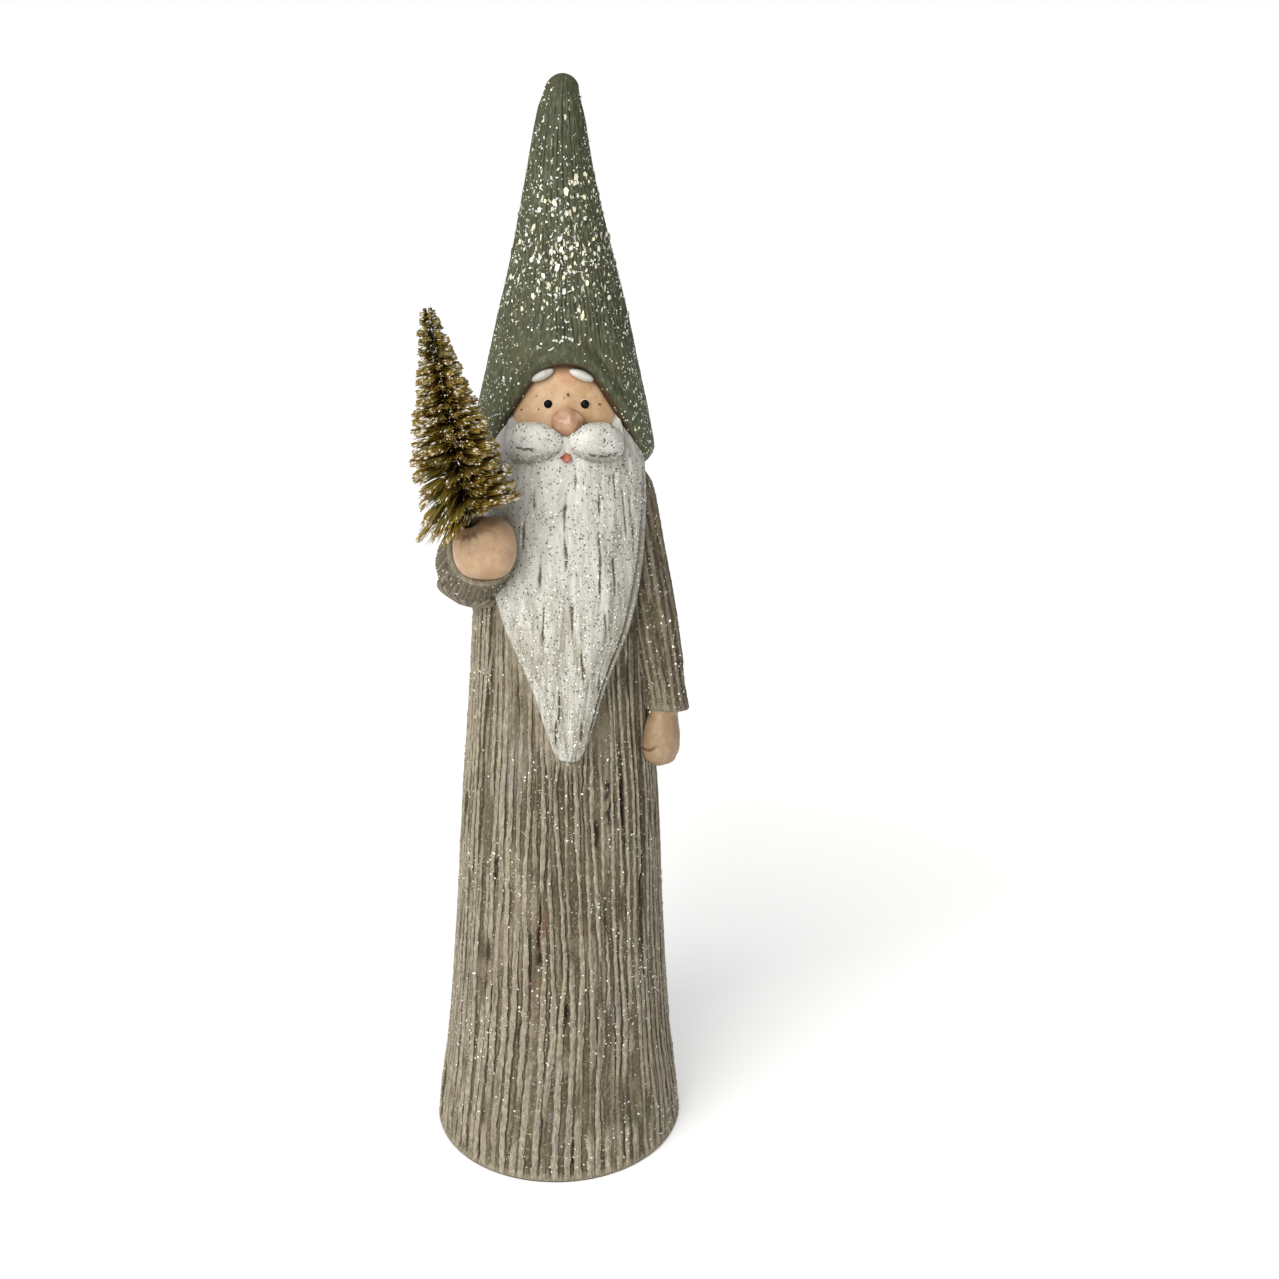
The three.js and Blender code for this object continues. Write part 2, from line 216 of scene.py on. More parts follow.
# ---- materials ----
class Paint:
    """A node material, with the few blocks that this object's paints share."""

    def __init__(self, name, roughness=0.7, metallic=0.0):
        self.material = bpy.data.materials.new(name)
        self.material.use_nodes = True
        self.nodes = self.material.node_tree.nodes
        self.links = self.material.node_tree.links
        self.shader = self.nodes["Principled BSDF"]
        self.shader.inputs["Roughness"].default_value = roughness
        self.shader.inputs["Metallic"].default_value = metallic
        place = self.nodes.new("ShaderNodeTexCoord")
        self.place = place.outputs["Object"]

    def stretched(self, x, y, z):
        node = self.nodes.new("ShaderNodeMapping")
        node.inputs["Scale"].default_value = (x, y, z)
        self.links.new(self.place, node.inputs["Vector"])
        return node.outputs["Vector"]

    def noise(self, size, detail=3.0, low=0.0, high=1.0, vector=None):
        """Noise with features of that size in millimetres. Its range low..high is mapped to 0..1."""
        node = self.nodes.new("ShaderNodeTexNoise")
        node.inputs["Scale"].default_value = 1 / (size * MM)
        node.inputs["Detail"].default_value = detail
        self.links.new(vector or self.place, node.inputs["Vector"])
        return self.ranged(node.outputs["Fac"], low, high)

    def spots(self, size, share):
        """Round spots, one in a cell of that size, that fill a share of it."""
        node = self.nodes.new("ShaderNodeTexVoronoi")
        node.inputs["Scale"].default_value = 1 / (size * MM)
        self.links.new(self.place, node.inputs["Vector"])
        return self.ranged(node.outputs["Distance"], share, share * 0.6)

    def ranged(self, value, low, high, to_low=0.0, to_high=1.0):
        node = self.nodes.new("ShaderNodeMapRange")
        for key, number in zip(("From Min", "From Max", "To Min", "To Max"), (low, high, to_low, to_high)):
            node.inputs[key].default_value = number
        self.links.new(value, node.inputs["Value"])
        return node.outputs["Result"]

    def attribute(self, name):
        node = self.nodes.new("ShaderNodeAttribute")
        node.attribute_name = name
        return node.outputs["Fac"]

    def math(self, kind, a, b):
        node = self.nodes.new("ShaderNodeMath")
        node.operation = kind
        for socket, value in zip(node.inputs, (a, b)):
            if isinstance(value, (int, float)):
                socket.default_value = value
            else:
                self.links.new(value, socket)
        return node.outputs[0]

    def mix(self, a, b, amount):
        """Mixes two colours, each a socket or (r, g, b)."""
        node = self.nodes.new("ShaderNodeMix")
        node.data_type = "RGBA"
        for socket, value in ((node.inputs[6], a), (node.inputs[7], b)):
            if isinstance(value, tuple):
                socket.default_value = (*value, 1)
            else:
                self.links.new(value, socket)
        self.links.new(amount, node.inputs[0])
        return node.outputs[2]

    def over(self, color, *layers):
        """Lays tints over a colour, each as strong as an attribute of the mesh."""
        for tint, name in layers:
            color = self.mix(color, tint, self.attribute(name))
        return color

    def shade_crevices(self, color, tint, distance, strength):
        """Paints shade into the colour: darkens it towards the tint where other surfaces are near."""
        node = self.nodes.new("ShaderNodeAmbientOcclusion")
        node.inputs["Distance"].default_value = distance * MM
        node.samples = 8
        near = self.ranged(node.outputs["AO"], 0.9, 0.25, 0.0, strength)
        return self.mix(color, tint, near)

    def bump(self, height, strength, distance):
        node = self.nodes.new("ShaderNodeBump")
        node.inputs["Strength"].default_value = strength
        node.inputs["Distance"].default_value = distance * MM
        self.links.new(height, node.inputs["Height"])
        self.links.new(node.outputs["Normal"], self.shader.inputs["Normal"])

    def done(self, color, roughness=None):
        self.links.new(color, self.shader.inputs["Base Color"])
        if roughness is not None:
            self.links.new(roughness, self.shader.inputs["Roughness"])
        return self.material


def robe_paint():
    p = Paint("robe_paint", 0.8)
    fine = p.noise(0.9, 4, 0.34, 0.68, p.stretched(1, 1, 0.4))
    broad = p.noise(16, 3, 0.35, 0.65)
    crest = p.mix((0.209, 0.178, 0.122), (0.46, 0.41, 0.306), fine)
    crest = p.mix(crest, (0.31, 0.252, 0.190), p.noise(9, 2, 0.52, 0.78))
    groove = p.mix((0.070, 0.054, 0.025), (0.136, 0.111, 0.056), broad)
    groove = p.mix(groove, (0.10, 0.052, 0.028), p.noise(7, 2, 0.57, 0.77))
    groove = p.mix(groove, (0.27, 0.238, 0.168), p.noise(0.8, 4, 0.53, 0.74, p.stretched(1, 1, 0.6)))
    color = p.mix(crest, groove, p.attribute("groove"))
    # The line layer is painted shade at the feet of the ribs.
    color = p.over(
        color,
        ((0.040, 0.028, 0.014), "line"),
        ((0.30, 0.272, 0.262), "lavender"),
        ((0.34, 0.258, 0.195), "pink"),
        ((0.16, 0.060, 0.020), "stain"),
        ((0.020, 0.008, 0.004), "cut"),
    )
    color = p.mix(color, (0.66, 0.62, 0.51), p.spots(1.1, 0.14))
    color = p.mix(color, (0.05, 0.04, 0.025), p.spots(1.7, 0.14))
    p.bump(p.noise(0.7, 6, vector=p.stretched(1, 1, 0.6)), 1.0, 0.5)
    return p.done(p.shade_crevices(color, (0.036, 0.026, 0.013), 0.8, 0.7), p.ranged(fine, 0, 1, 0.7, 0.9))


def hat_paint():
    p = Paint("hat_paint", 0.74)
    streak = p.noise(0.9, 4, 0.36, 0.68, p.stretched(1, 1, 0.22))
    crest = p.mix((0.045, 0.054, 0.024), (0.124, 0.142, 0.069), streak)
    groove = p.mix((0.012, 0.013, 0.006), (0.032, 0.035, 0.017), p.noise(6, 2))
    color = p.mix(crest, groove, p.attribute("groove"))
    color = p.mix(color, (0.082, 0.073, 0.034), p.noise(11, 3, 0.5, 0.75))
    color = p.mix(color, (0.24, 0.260, 0.150), p.noise(1.0, 5, 0.55, 0.78, p.stretched(1, 1, 0.4)))
    color = p.mix(color, (0.035, 0.036, 0.019), p.noise(1.1, 4, 0.62, 0.8, p.stretched(1, 1, 0.4)))
    # Painted shade on the brim's roll and the hollow above it at the front, and a darker top.
    color = p.mix(color, (0.024, 0.027, 0.012), p.math("MULTIPLY", p.attribute("valley"), 0.7))
    color = p.mix(color, (0.060, 0.022, 0.008), p.attribute("rim"))
    p.bump(p.noise(0.7, 5, vector=p.stretched(1, 1, 0.45)), 0.8, 0.25)
    return p.done(p.shade_crevices(color, (0.016, 0.014, 0.007), 1.2, 0.75), p.ranged(streak, 0, 1, 0.6, 0.84))


def white_paint(name, grain, low, high):
    """White over clay. grain under 1 stretches its streaks up."""
    p = Paint(name, 0.62)
    wash = p.noise(5, 3, 0.35, 0.7, p.stretched(1, 1, 2 * grain))
    color = p.mix(low, high, wash)
    color = p.mix(color, (0.40, 0.388, 0.325), p.noise(1.2, 5, 0.57, 0.82, p.stretched(1, 1, grain)))
    color = p.mix(color, (0.27, 0.255, 0.21), p.attribute("shade"))
    # Grey streaks, as strong as a value of the mesh: painted shade, on the beard mostly low down and on the
    # side away from the light.
    dirt = p.noise(1.5, 4, 0.30, 0.59, p.stretched(1, 1, 0.12))
    color = p.mix(color, (0.34, 0.318, 0.25), p.math("MULTIPLY", dirt, p.attribute("dirt")))
    color = p.mix(color, (0.105, 0.080, 0.036), p.attribute("slit"))
    color = p.mix(color, (0.24, 0.23, 0.19), p.spots(1.7, 0.11))
    p.bump(p.noise(0.8, 5, vector=p.stretched(1, 1, 0.5)), 0.6, 0.22)
    return p.done(p.shade_crevices(color, (0.25, 0.23, 0.17), 1.6, 0.65), p.ranged(wash, 0, 1, 0.5, 0.7))


def skin_paint(name, base, warm, edge):
    p = Paint(name, 0.5)
    color = p.mix(base, warm, p.noise(3, 4, 0.38, 0.66))
    color = p.mix(color, edge, p.noise(1.6, 4, 0.58, 0.95))
    # Over the skin go painted shade in the edge colour, which also mottles it at random, a blush, pale marks
    # that are partly scratches and partly a painted highlight, and dark slits.
    color = p.over(
        color,
        (edge, "shade"),
        ((0.60, 0.30, 0.18), "blush"),
        ((0.80, 0.72, 0.62), "scratch"),
        ((0.10, 0.045, 0.018), "slit"),
    )
    color = p.mix(color, (0.30, 0.15, 0.07), p.spots(2.9, 0.04))
    p.bump(p.noise(1.0, 4), 0.45, 0.16)
    return p.done(p.shade_crevices(color, (0.24, 0.105, 0.04), 0.6, 0.45), p.noise(2, 2, -1.2, 2.4))


def terracotta_paint():
    p = Paint("mouth_paint", 0.55)
    color = p.mix((0.42, 0.085, 0.04), (0.60, 0.24, 0.15), p.noise(0.8, 3, 0.35, 0.7))
    # The slit values paint the shadow over the mouth's dent.
    color = p.mix(color, (0.12, 0.018, 0.008), p.attribute("slit"))
    p.bump(p.noise(0.4, 3), 0.4, 0.1)
    return p.done(p.shade_crevices(color, (0.16, 0.02, 0.01), 1.0, 0.9))


def eye_paint():
    p = Paint("eye_gloss", 0.3)
    p.shader.inputs["Specular IOR Level"].default_value = 0.12
    color = p.mix((0.003, 0.002, 0.002), (0.009, 0.007, 0.006), p.noise(0.5, 2))
    return p.done(color)


def clay():
    p = Paint("bare_clay", 0.85)
    color = p.mix((0.50, 0.24, 0.13), (0.62, 0.34, 0.21), p.noise(3, 4, 0.35, 0.7))
    color = p.mix(color, (0.34, 0.17, 0.10), p.spots(2.2, 0.13))
    p.bump(p.noise(0.7, 4), 0.5, 0.15)
    return p.done(color)


def plug_rubber():
    p = Paint("plug_rubber", 0.8)
    color = p.mix((0.16, 0.12, 0.07), (0.24, 0.19, 0.12), p.noise(1.2, 4, 0.3, 0.7))
    p.bump(p.noise(0.4, 3), 0.5, 0.08)
    return p.done(color)


def wire_metal():
    p = Paint("wire_metal", 0.38, 1.0)
    color = p.mix((0.10, 0.075, 0.035), (0.20, 0.165, 0.095), p.noise(1.5, 3, 0.3, 0.7))
    p.bump(p.noise(0.3, 2), 0.2, 0.03)
    return p.done(color)


def bristle_paint():
    p = Paint("bristle_fibre", 0.45)
    color = p.mix((0.15, 0.076, 0.004), (0.52, 0.355, 0.048), p.attribute("tone"))
    color = p.mix(color, (0.17, 0.150, 0.022), p.noise(9, 2, 0.5, 0.7))
    # Painted shade: the bristles darken to near black towards their roots, deep inside the brush.
    deep = p.math("POWER", p.attribute("root"), 0.55)
    color = p.mix(color, (0.010, 0.004, 0.001), deep)
    color = p.mix(color, (0.62, 0.55, 0.38), p.attribute("frost"))
    return p.done(color)


def frost_paint():
    p = Paint("frost", 0.6)
    return p.done(p.mix((0.88, 0.82, 0.64), (0.97, 0.95, 0.88), p.noise(3, 2, 0.35, 0.65)))


def glitter(name, color, other, metallic, roughness=0.22):
    p = Paint(name, roughness, metallic)
    return p.done(p.mix(color, other, p.noise(2.5, 1, 0.4, 0.6)))


# ---- scattered flakes ----
def flakes(points, normals, size, rng, tilt=0.35, tall=1.0, thick=0.07, sides=5):
    """Thin closed flakes that lie on the points. tall stretches them up the surface."""
    n = len(points)
    normal = unit(normals + rng.normal(0, tilt, (n, 3)))
    up = np.array([0.0, 0.0, 1.0]) + rng.normal(0, 0.25 if np.ndim(tall) or tall != 1 else 3, (n, 3))
    side = unit(np.cross(up, normal))
    up = np.cross(normal, side)
    turn = np.arange(sides) * TAU / sides + rng.uniform(0, TAU, (n, 1))
    reach = (size / 2)[:, None] * rng.uniform(0.75, 1.15, (n, sides))
    tall = np.broadcast_to(tall, n)[:, None]
    flat = side[:, None] * (reach * np.cos(turn))[..., None]
    flat = flat + up[:, None] * (reach * tall * np.sin(turn))[..., None]
    lift = normal[:, None] * thick / 2
    ring = points[:, None] + flat
    verts = np.stack([ring - lift, ring + lift], 1).reshape(-1, 3)
    start = np.arange(n)[:, None] * 2 * sides
    k = np.arange(sides)
    low, high = start + k[::-1], start + sides + k
    nxt = (k + 1) % sides
    walls = np.stack([start + k, start + nxt, start + sides + nxt, start + sides + k], -1).reshape(-1, 4)
    faces = [low, high, walls]
    return verts, outward(verts, faces), {}


def scattered(points, density, count, rng, lift=0.05):
    """Random places on a grid, by its area times a density, as (points, normals)."""
    normal, area = facing(points)
    weight = (area * density).ravel()
    pick = rng.choice(weight.size, count, p=weight / weight.sum())
    places, normals = points.reshape(-1, 3)[pick], normal.reshape(-1, 3)[pick]
    jitter = rng.normal(0, 0.25, (count, 3))
    jitter -= normals * (jitter * normals).sum(1, keepdims=True)
    return places + jitter + normals * lift, normals


# ---- ribbing, shared by the robe and the sleeves ----
PER_RIB = 6


def ribbing(count, z, seed, share, height):
    """Ribs that wander along z, for a surface that closes round.

    share is how much of the period a crest takes. Returns for each row and column how far round it
    is, from 0 to 1, how far it lies below the crest, how much it belongs to a groove, and how much
    painted shade it gets, as a dark line at the foot of a crest.
    """
    z = np.asarray(z, float)[:, None]
    k = np.arange(count)[None, :]

    def ripple(length, amount, salt, cells=count):
        return amount * noise(k * cells / count, z / length, seed + salt, cells)

    lean = ripple(70, 0.55, 1, max(3, count // 6)) + ripple(26, 0.22, 2) + ripple(8, 0.06, 3)
    lean = lean + np.random.default_rng(seed).uniform(-0.13, 0.13, count)
    share = share + ripple(15, 0.10, 12)
    middle = k + lean
    half = np.clip(share, 0.18, 0.88) / 2
    left = middle - half + ripple(3.1, 0.05, 4) + ripple(1.4, 0.07, 13)
    right = middle + half + ripple(3.1, 0.05, 6) + ripple(1.4, 0.07, 14)
    beyond = np.concatenate([left[:, 1:], left[:, :1] + count], 1)
    shut = np.clip(0.14 - (beyond - right), 0, None) / 2
    right, beyond = right - shut, beyond + shut
    left = np.concatenate([beyond[:, -1:] - count, beyond[:, :-1]], 1)
    wall = np.clip((beyond - right) * 0.22, 0.015, 0.05)
    faint = np.clip(0.3 + 1.1 * ripple(42, 1, 7) + ripple(11, 0.3, 8), 0, 1) ** 1.6
    second = np.clip(ripple(20, 1.5, 9) - 0.5, 0, 0.7) * step(beyond - right, 0.35, 0.6)
    crumb = [np.abs(ripple(1.6, 0.24, 20 + i)) for i in range(PER_RIB)]
    low = height * (1 - 0.4 * faint) * step(beyond - right, 0.0, 0.3)
    sunk = np.clip(ripple(24, 1.9, 15) + ripple(9, 0.7, 16) - 0.6, 0, 1) * 0.85 * height
    split = np.clip(ripple(16, 1.6, 17) - 0.3, 0, 1) * step(half, 0.24, 0.34) * 0.35
    turn = [left, (left + right) / 2, right, right + wall, lerp(right, beyond, 0.5 + ripple(5, 0.12, 18)),
            beyond - wall]
    drop = [sunk + 0.3 + crumb[0], sunk + split + crumb[1] * 0.7, sunk + 0.34 + crumb[2],
            np.maximum(low - crumb[3] * 0.5, sunk), np.maximum(low * (0.96 - second) - crumb[4], 0),
            np.maximum(low - crumb[5] * 0.5, sunk)]
    dull = np.clip(sunk / height * 0.9, 0, 1)
    groove = [dull, np.clip(dull + split * 2, 0, 1), dull, 1 - 0.2 * faint, 1 - second * 0.9, 1 - 0.2 * faint]
    narrow = 1 - step(beyond - right, 0.25, 0.5)
    # Painted shade: dark lines at the feet of the crest walls and down narrow grooves, and in split crests.
    shadow = [np.clip(0.22 + 0.45 * narrow + ripple(6, 0.5, 30 + i), 0, 0.85) * (1 - faint) for i in (0, 1)]
    none = 0 * dull
    line = [none, np.clip(split * 1.2, 0, 0.4), none, shadow[0], narrow * 0.4, shadow[1]]

    def woven(parts):
        return np.stack(parts, -1).reshape(len(z), -1)

    return woven(turn) / count, woven(drop), woven(groove), woven(line)


# ---- the robe ----
RIBS = 80
ROBE_TOP = 238
robe_radius = curve((0, 43.8), (10, 43.0), (36, 39.6), (72, 36.6), (121, 33.6), (160, 30.6),
                    (195, 28.6), (216, 27.6), (230, 25.8), (238, 14))
robe_inside = curve((0, 39.3), (60, 33), (121, 29), (180, 25), (214, 22.5), (231, 14), (238, 9))
BEARD_TIP, BEARD_TOP = 146, 247
beard_side = curve((247, 1.16), (230, 1.15), (216, 1.0), (199, 0.8), (187, 0.63), (176, 0.44), (167, 0.32),
                   (158, 0.235), (150, 0.158), (146, 0.14))


def beard_span(z):
    """Half the beard's width, as an angle. Its tip is round."""
    z = np.asarray(z, float)
    return beard_side(z) * np.sqrt(np.clip(1 - (np.clip(152 - z, 0, 6) / 6) ** 2, 0.005, 1))



# Deep cuts in the robe's grooves: angle, height of the lower and upper end, depth.
CUTS = [
    (-14.5, 75, 100, 1.3), (-21.0, 71, 88, 1.3), (22, 122, 139, 1.2), (28, 123, 136, 1.1),
    (32.5, 120, 139, 1.2), (17.5, 115, 127, 0.9), (-41, 134, 143, 0.9), (-44, 101, 112, 0.7),
    (47, 96, 112, 0.7), (-27, 44, 58, 0.7), (12, 30, 44, 0.8), (-3, 53, 64, 1.4), (3, 4, 16, 0.5),
    (150, 60, 80, 1.0), (205, 110, 130, 1.0), (118, 130, 150, 0.9), (-120, 40, 66, 1.0),
]
# Tinted patches: kind, angle, height, half width in degrees, half height, strength.
PATCHES = [
    ("stain", -17.5, 74, 4, 6, 0.9), ("stain", -13.5, 86, 2.2, 10, 1.0), ("stain", -10.5, 20, 3, 14, 0.35),
    ("stain", 3, 14, 2, 10, 0.3), ("lavender", -26, 148, 9, 7, 0.7), ("lavender", -34, 138, 7, 8, 0.5),
    ("lavender", -8, 26, 6, 14, 0.6), ("lavender", 24, 66, 5, 16, 0.35), ("lavender", 62, 96, 5, 6, 0.8),
    ("lavender", 62, 78, 4, 6, 0.7), ("pink", -16, 60, 6, 22, 0.6), ("pink", -36, 74, 12, 16, 0.4),
    ("pink", 8, 84, 5, 10, 0.5), ("pink", -14, 152, 6, 9, 0.6), ("pink", 22, 152, 5, 10, 0.5),
    ("pink", 25, 128, 4, 10, 0.5), ("pink", 160, 90, 20, 25, 0.4), ("lavender", -140, 60, 14, 20, 0.4),
]


def carve(drop, cut, angle, z, standing):
    """Cuts into the grooves nearest to the angles in CUTS."""
    centre = angle.reshape(len(z), RIBS, PER_RIB)[..., 4]
    for where, low, high, deep in CUTS:
        row = np.searchsorted(z, (low + high) / 2)
        away = np.abs((centre[row] - math.radians(where) + math.pi) % TAU - math.pi)
        rib = int(np.argmin(away))
        window = step(z, low, low + 3) * (1 - step(z, high - 3, high))
        # A cut takes the middle of the groove and one of its sides.
        for column, amount in zip((3, 4, 5), (0.9, 1, 0.0) if rib % 2 else (0.0, 1, 0.9)):
            ragged = window * amount * (0.8 + 1.5 * noise(column * 3.3 + where, z / 1.9, 75))
            ragged = np.clip(ragged, 0, 1)
            at = rib * PER_RIB + column
            drop[:, at] += ragged * deep * standing[:, 0]
            cut[:, at] = np.maximum(cut[:, at], ragged)


def tinted(kind, angle, z):
    """How much each point has of a kind of patch."""
    tint = np.zeros_like(angle)
    for name, where, height_at, wide, tall, strength in PATCHES:
        if name == kind:
            away = (np.degrees(angle) - where + 180) % 360 - 180
            tint = np.maximum(tint, strength * hill(away, 0, wide) * hill(z, height_at, tall))
    fine = noise(angle * 160 / TAU, z / 2.6, 77, 160)
    broad = noise(angle * 60 / TAU, z / 6, 78, 60)
    return np.clip(tint * (0.35 + 0.9 * fine + 0.5 * broad), 0, 1)


def robe_grid():
    """The robe's outside: a grid of points, and the values its paint reads."""
    z = np.concatenate([[0, 0.35, 1.0], np.linspace(1.9, 232, 184), [234.5, 236.6, ROBE_TOP]])
    rib_angle = np.arange(RIBS)[None, :] / RIBS * TAU
    rib_angle = (rib_angle + math.pi) % TAU - math.pi
    front = hill(rib_angle, 0.1, 0.55) * hill(z[:, None], 118, 62)
    left = hill(rib_angle, -1.0, 0.7)
    foot = 1 - step(z[:, None], 25, 95)
    share = 0.48 + 0.15 * left - 0.11 * front + 0.07 * foot
    share = share + 0.12 * noise(rib_angle * RIBS / TAU, z[:, None] / 25, 71, RIBS)
    height = 1.1 + 0.3 * noise(rib_angle * RIBS / TAU, z[:, None] / 40, 72, RIBS)
    turn, drop, groove, line = ribbing(RIBS, z, 11, share, height)
    # A slow squeeze makes the ribs a little wider at the front than at the sides.
    angle = turn * TAU
    angle = angle + 0.10 * np.sin(angle)
    angle = (angle + math.pi) % TAU - math.pi
    zz = np.broadcast_to(z[:, None], angle.shape)
    radius = robe_radius(zz)

    beside = np.maximum(0, np.abs(angle) - beard_span(zz)) * radius
    beside = np.where(zz < BEARD_TIP, np.hypot(angle * radius, BEARD_TIP - zz), beside)
    smeared = 0.6 * hill(np.degrees(angle), -30, 9) * hill(zz, BEARD_TIP, 9)
    # Near the beard the ribs are smoothed over.
    clear = step(beside, 0.5, 6) * (1 - smeared)
    relief = lerp(0.3, 1, clear) * (1 - 0.5 * step(noise(angle * 30 / TAU, zz / 14, 73, 30), 0.55, 0.85))
    standing = step(zz, 0.3, 3.6)
    drop = drop * relief * standing
    groove = groove * lerp(0.35, 1, relief) * standing

    cut = np.zeros_like(angle)
    carve(drop, cut, angle, z, standing)
    drop = drop + 0.05 * noise(angle * 300 / TAU, zz / 0.8, 76, 300)
    radius = radius - drop - 0.9 * (1 - step(zz, -0.6, 1.1)) - 0.12

    # The line values are painted shade at the feet of the ribs; round the very bottom they also darken a thin
    # band.
    foot_line = 0.85 * (1 - step(zz, 0.2, 1.5))
    values = {
        "groove": np.clip(groove, 0, 1),
        "cut": cut * 0.95,
        "line": np.maximum(line * relief * standing, foot_line),
    }
    for kind in ("stain", "lavender", "pink"):
        values[kind] = tinted(kind, angle, zz)
    return polar(angle, radius, zz), values


def robe():
    """The robe as a hollow shell. Returns its outside."""
    outside, values = robe_grid()
    heights = np.linspace(ROBE_TOP, 0, 14)
    angle = np.arctan2(outside[0, :, 0], -outside[0, :, 1])
    inside = polar(angle[None, :], robe_inside(heights)[:, None], heights[:, None])
    points = np.concatenate([outside, inside])
    parts = closed(points, extended(values, len(heights)), ring=True)
    piece("robe", "figure", parts, robe_coat, ["robe_shell"], flat=True)
    return outside


# ---- the hat ----
HAT_RIBS = 92
PER_HAT_RIB = 5
HAT_COLUMNS = HAT_RIBS * PER_HAT_RIB
HAT_TOP = 350
hat_low = curve((233, 28.3), (235, 28.6), (240, 29.2), (251, 27.2), (264, 24.1), (281, 20.2), (300, 15.3),
                (323, 10.1), (341, 6.5), (346, 4.9))


def hat_radius(z):
    """The hat's radius before its grooves. Its tip is round."""
    z = np.asarray(z, float)
    cap = 5.15 * np.sqrt(np.clip(1 - ((z - 345) / 5) ** 2, 0, 1))
    return np.where(z > 345, cap, hat_low(z))


BRIM_BACK = 235
rim_curve = curve((0, 267.4), (9, 267), (18, 265.4), (26, 262), (37, 255.4), (47, 249.4), (57, 244.2),
                  (66, 239.4), (78, 236.4), (92, BRIM_BACK), (180, BRIM_BACK))


def rim_height(angle):
    """The brim's height. It arches over the brow, a little to the right of the middle."""
    lean = -2.6 * (1 - step(np.abs(np.degrees(angle)), 30, 80))
    return rim_curve(np.abs(np.degrees(angle) - lean))


def hat_shift(z):
    """How far the hat's middle lies to the left hand, because the hat is slightly bowed."""
    bow = lerp(0.4, -0.7, step(z, 285, 325))
    return bow * step(z, 235, 255) * (1 - step(z, 340, 350))


def hat_grid():
    """The hat's outside, the values its paint reads, and the angle of each column."""
    t = np.concatenate([np.linspace(0, 0.9, 150), 1 - 0.1 * (1 - np.linspace(0.03, 1, 30)) ** 2])
    t = np.clip(t, 0, 0.9999)[:, None]
    k = np.arange(HAT_COLUMNS)[None, :]
    rib = k / PER_HAT_RIB
    wander = 0.7 * noise(rib / 4, t * 4, 31, HAT_RIBS // 4) + 0.16 * noise(rib, t * 14, 32, HAT_RIBS)
    angle = (rib + wander) / HAT_RIBS * TAU
    angle = (angle + math.pi) % TAU - math.pi
    z = lerp(rim_height(angle), HAT_TOP, t)
    above = z - rim_height(angle)
    start = 270 + 3 * noise(rib / 3, 0.5, 33, HAT_RIBS // 3)
    ribbed = step(z, start, start + 7) * (1 - 0.45 * step(z, 335, 350))
    phase = np.abs(((k % PER_HAT_RIB) / PER_HAT_RIB + 0.5) % 1 - 0.5) * 2
    # Every other groove ends part way up, and every other one of the rest a little higher.
    number = np.round(rib).astype(int) % HAT_RIBS
    odd = (number % 2 == 1) * step(z, 300, 318) + (number % 4 == 2) * step(z, 328, 340)
    odd = odd + 0.5 * step(noise(number, z / 16, 34, HAT_RIBS), 0.2, 0.7)
    dent = (1 - step(phase, 0.0, 0.62)) * (1 - np.clip(odd, 0, 1))
    dent = dent * (0.75 + 0.35 * noise(number, z / 7, 35, HAT_RIBS))
    rough = 0.06 * noise(k / 2, z / 1.3, 36, HAT_COLUMNS // 2) + 0.10 * noise(rib, z / 4, 37, HAT_RIBS)
    front = 1 - step(np.abs(angle), 0.5, 0.95)
    roll = front * (1.25 * hill(above, 3.2, 2.7) - 0.75 * hill(above, 9.0, 2.6))
    radius = hat_radius(z) - 0.54 * dent * ribbed + rough * (1 - step(z, 346, 350)) - 0.1 + roll
    # The brim's lower edge turns in.
    radius = radius - (3.0 - 0.9 * front) * (1 - np.sqrt(np.clip(above / (4.6 - front), 0, 1)))
    points = polar(angle, radius, z)
    points[..., 0] += hat_shift(z)
    values = {
        "groove": np.clip(dent * ribbed + 0.25 * step(-rough, 0.03, 0.1), 0, 1),
        "rim": (1 - step(above, 0.1, 1.0)) * (1 - 0.8 * step(np.abs(angle), 0.75, 1.1)),
        # Painted shade on the brim's roll and the hollow above it at the front; the upper hat is darker too.
        "valley": front * (0.3 * hill(above, 6, 2) + 0.2 * hill(above, 2, 2.6)) + 0.35 * step(z, 300, 340),
    }
    return points, values, angle[0]


def hat():
    """The hat as a hollow shell with a rolled brim. Returns its outside."""
    outside, values, angle = hat_grid()
    rim = rim_height(angle)
    thin = 0.8 * step(np.abs(angle), 0.5, 0.95)
    lip = [
        polar(angle, hat_radius(rim) - deep, rim + up)
        for deep, up in ((2.2 + thin, -0.2), (3.2 + thin / 3, 0.0), (3.9, 0.8))
    ]
    inner = []
    for z0 in (240, 250, 262, 275, 290, 305, 320, 328):
        z = lerp(rim, HAT_TOP, (z0 - BRIM_BACK) / (HAT_TOP - BRIM_BACK))
        level = polar(angle, hat_radius(z) * (1 - 4.0 / hat_radius(z0)), z)
        level[..., 0] += hat_shift(z)
        inner.append(level)
    under = np.stack(inner[::-1] + lip[::-1])
    points = np.concatenate([under, outside])
    brown = 1 - 0.8 * step(np.abs(angle), 0.75, 1.1)
    values = extended(values, len(under), first=True, groove=0.8, rim=brown)
    piece("hat_shell", "figure", closed(points, values), hat_coat, ["hat"])
    return outside


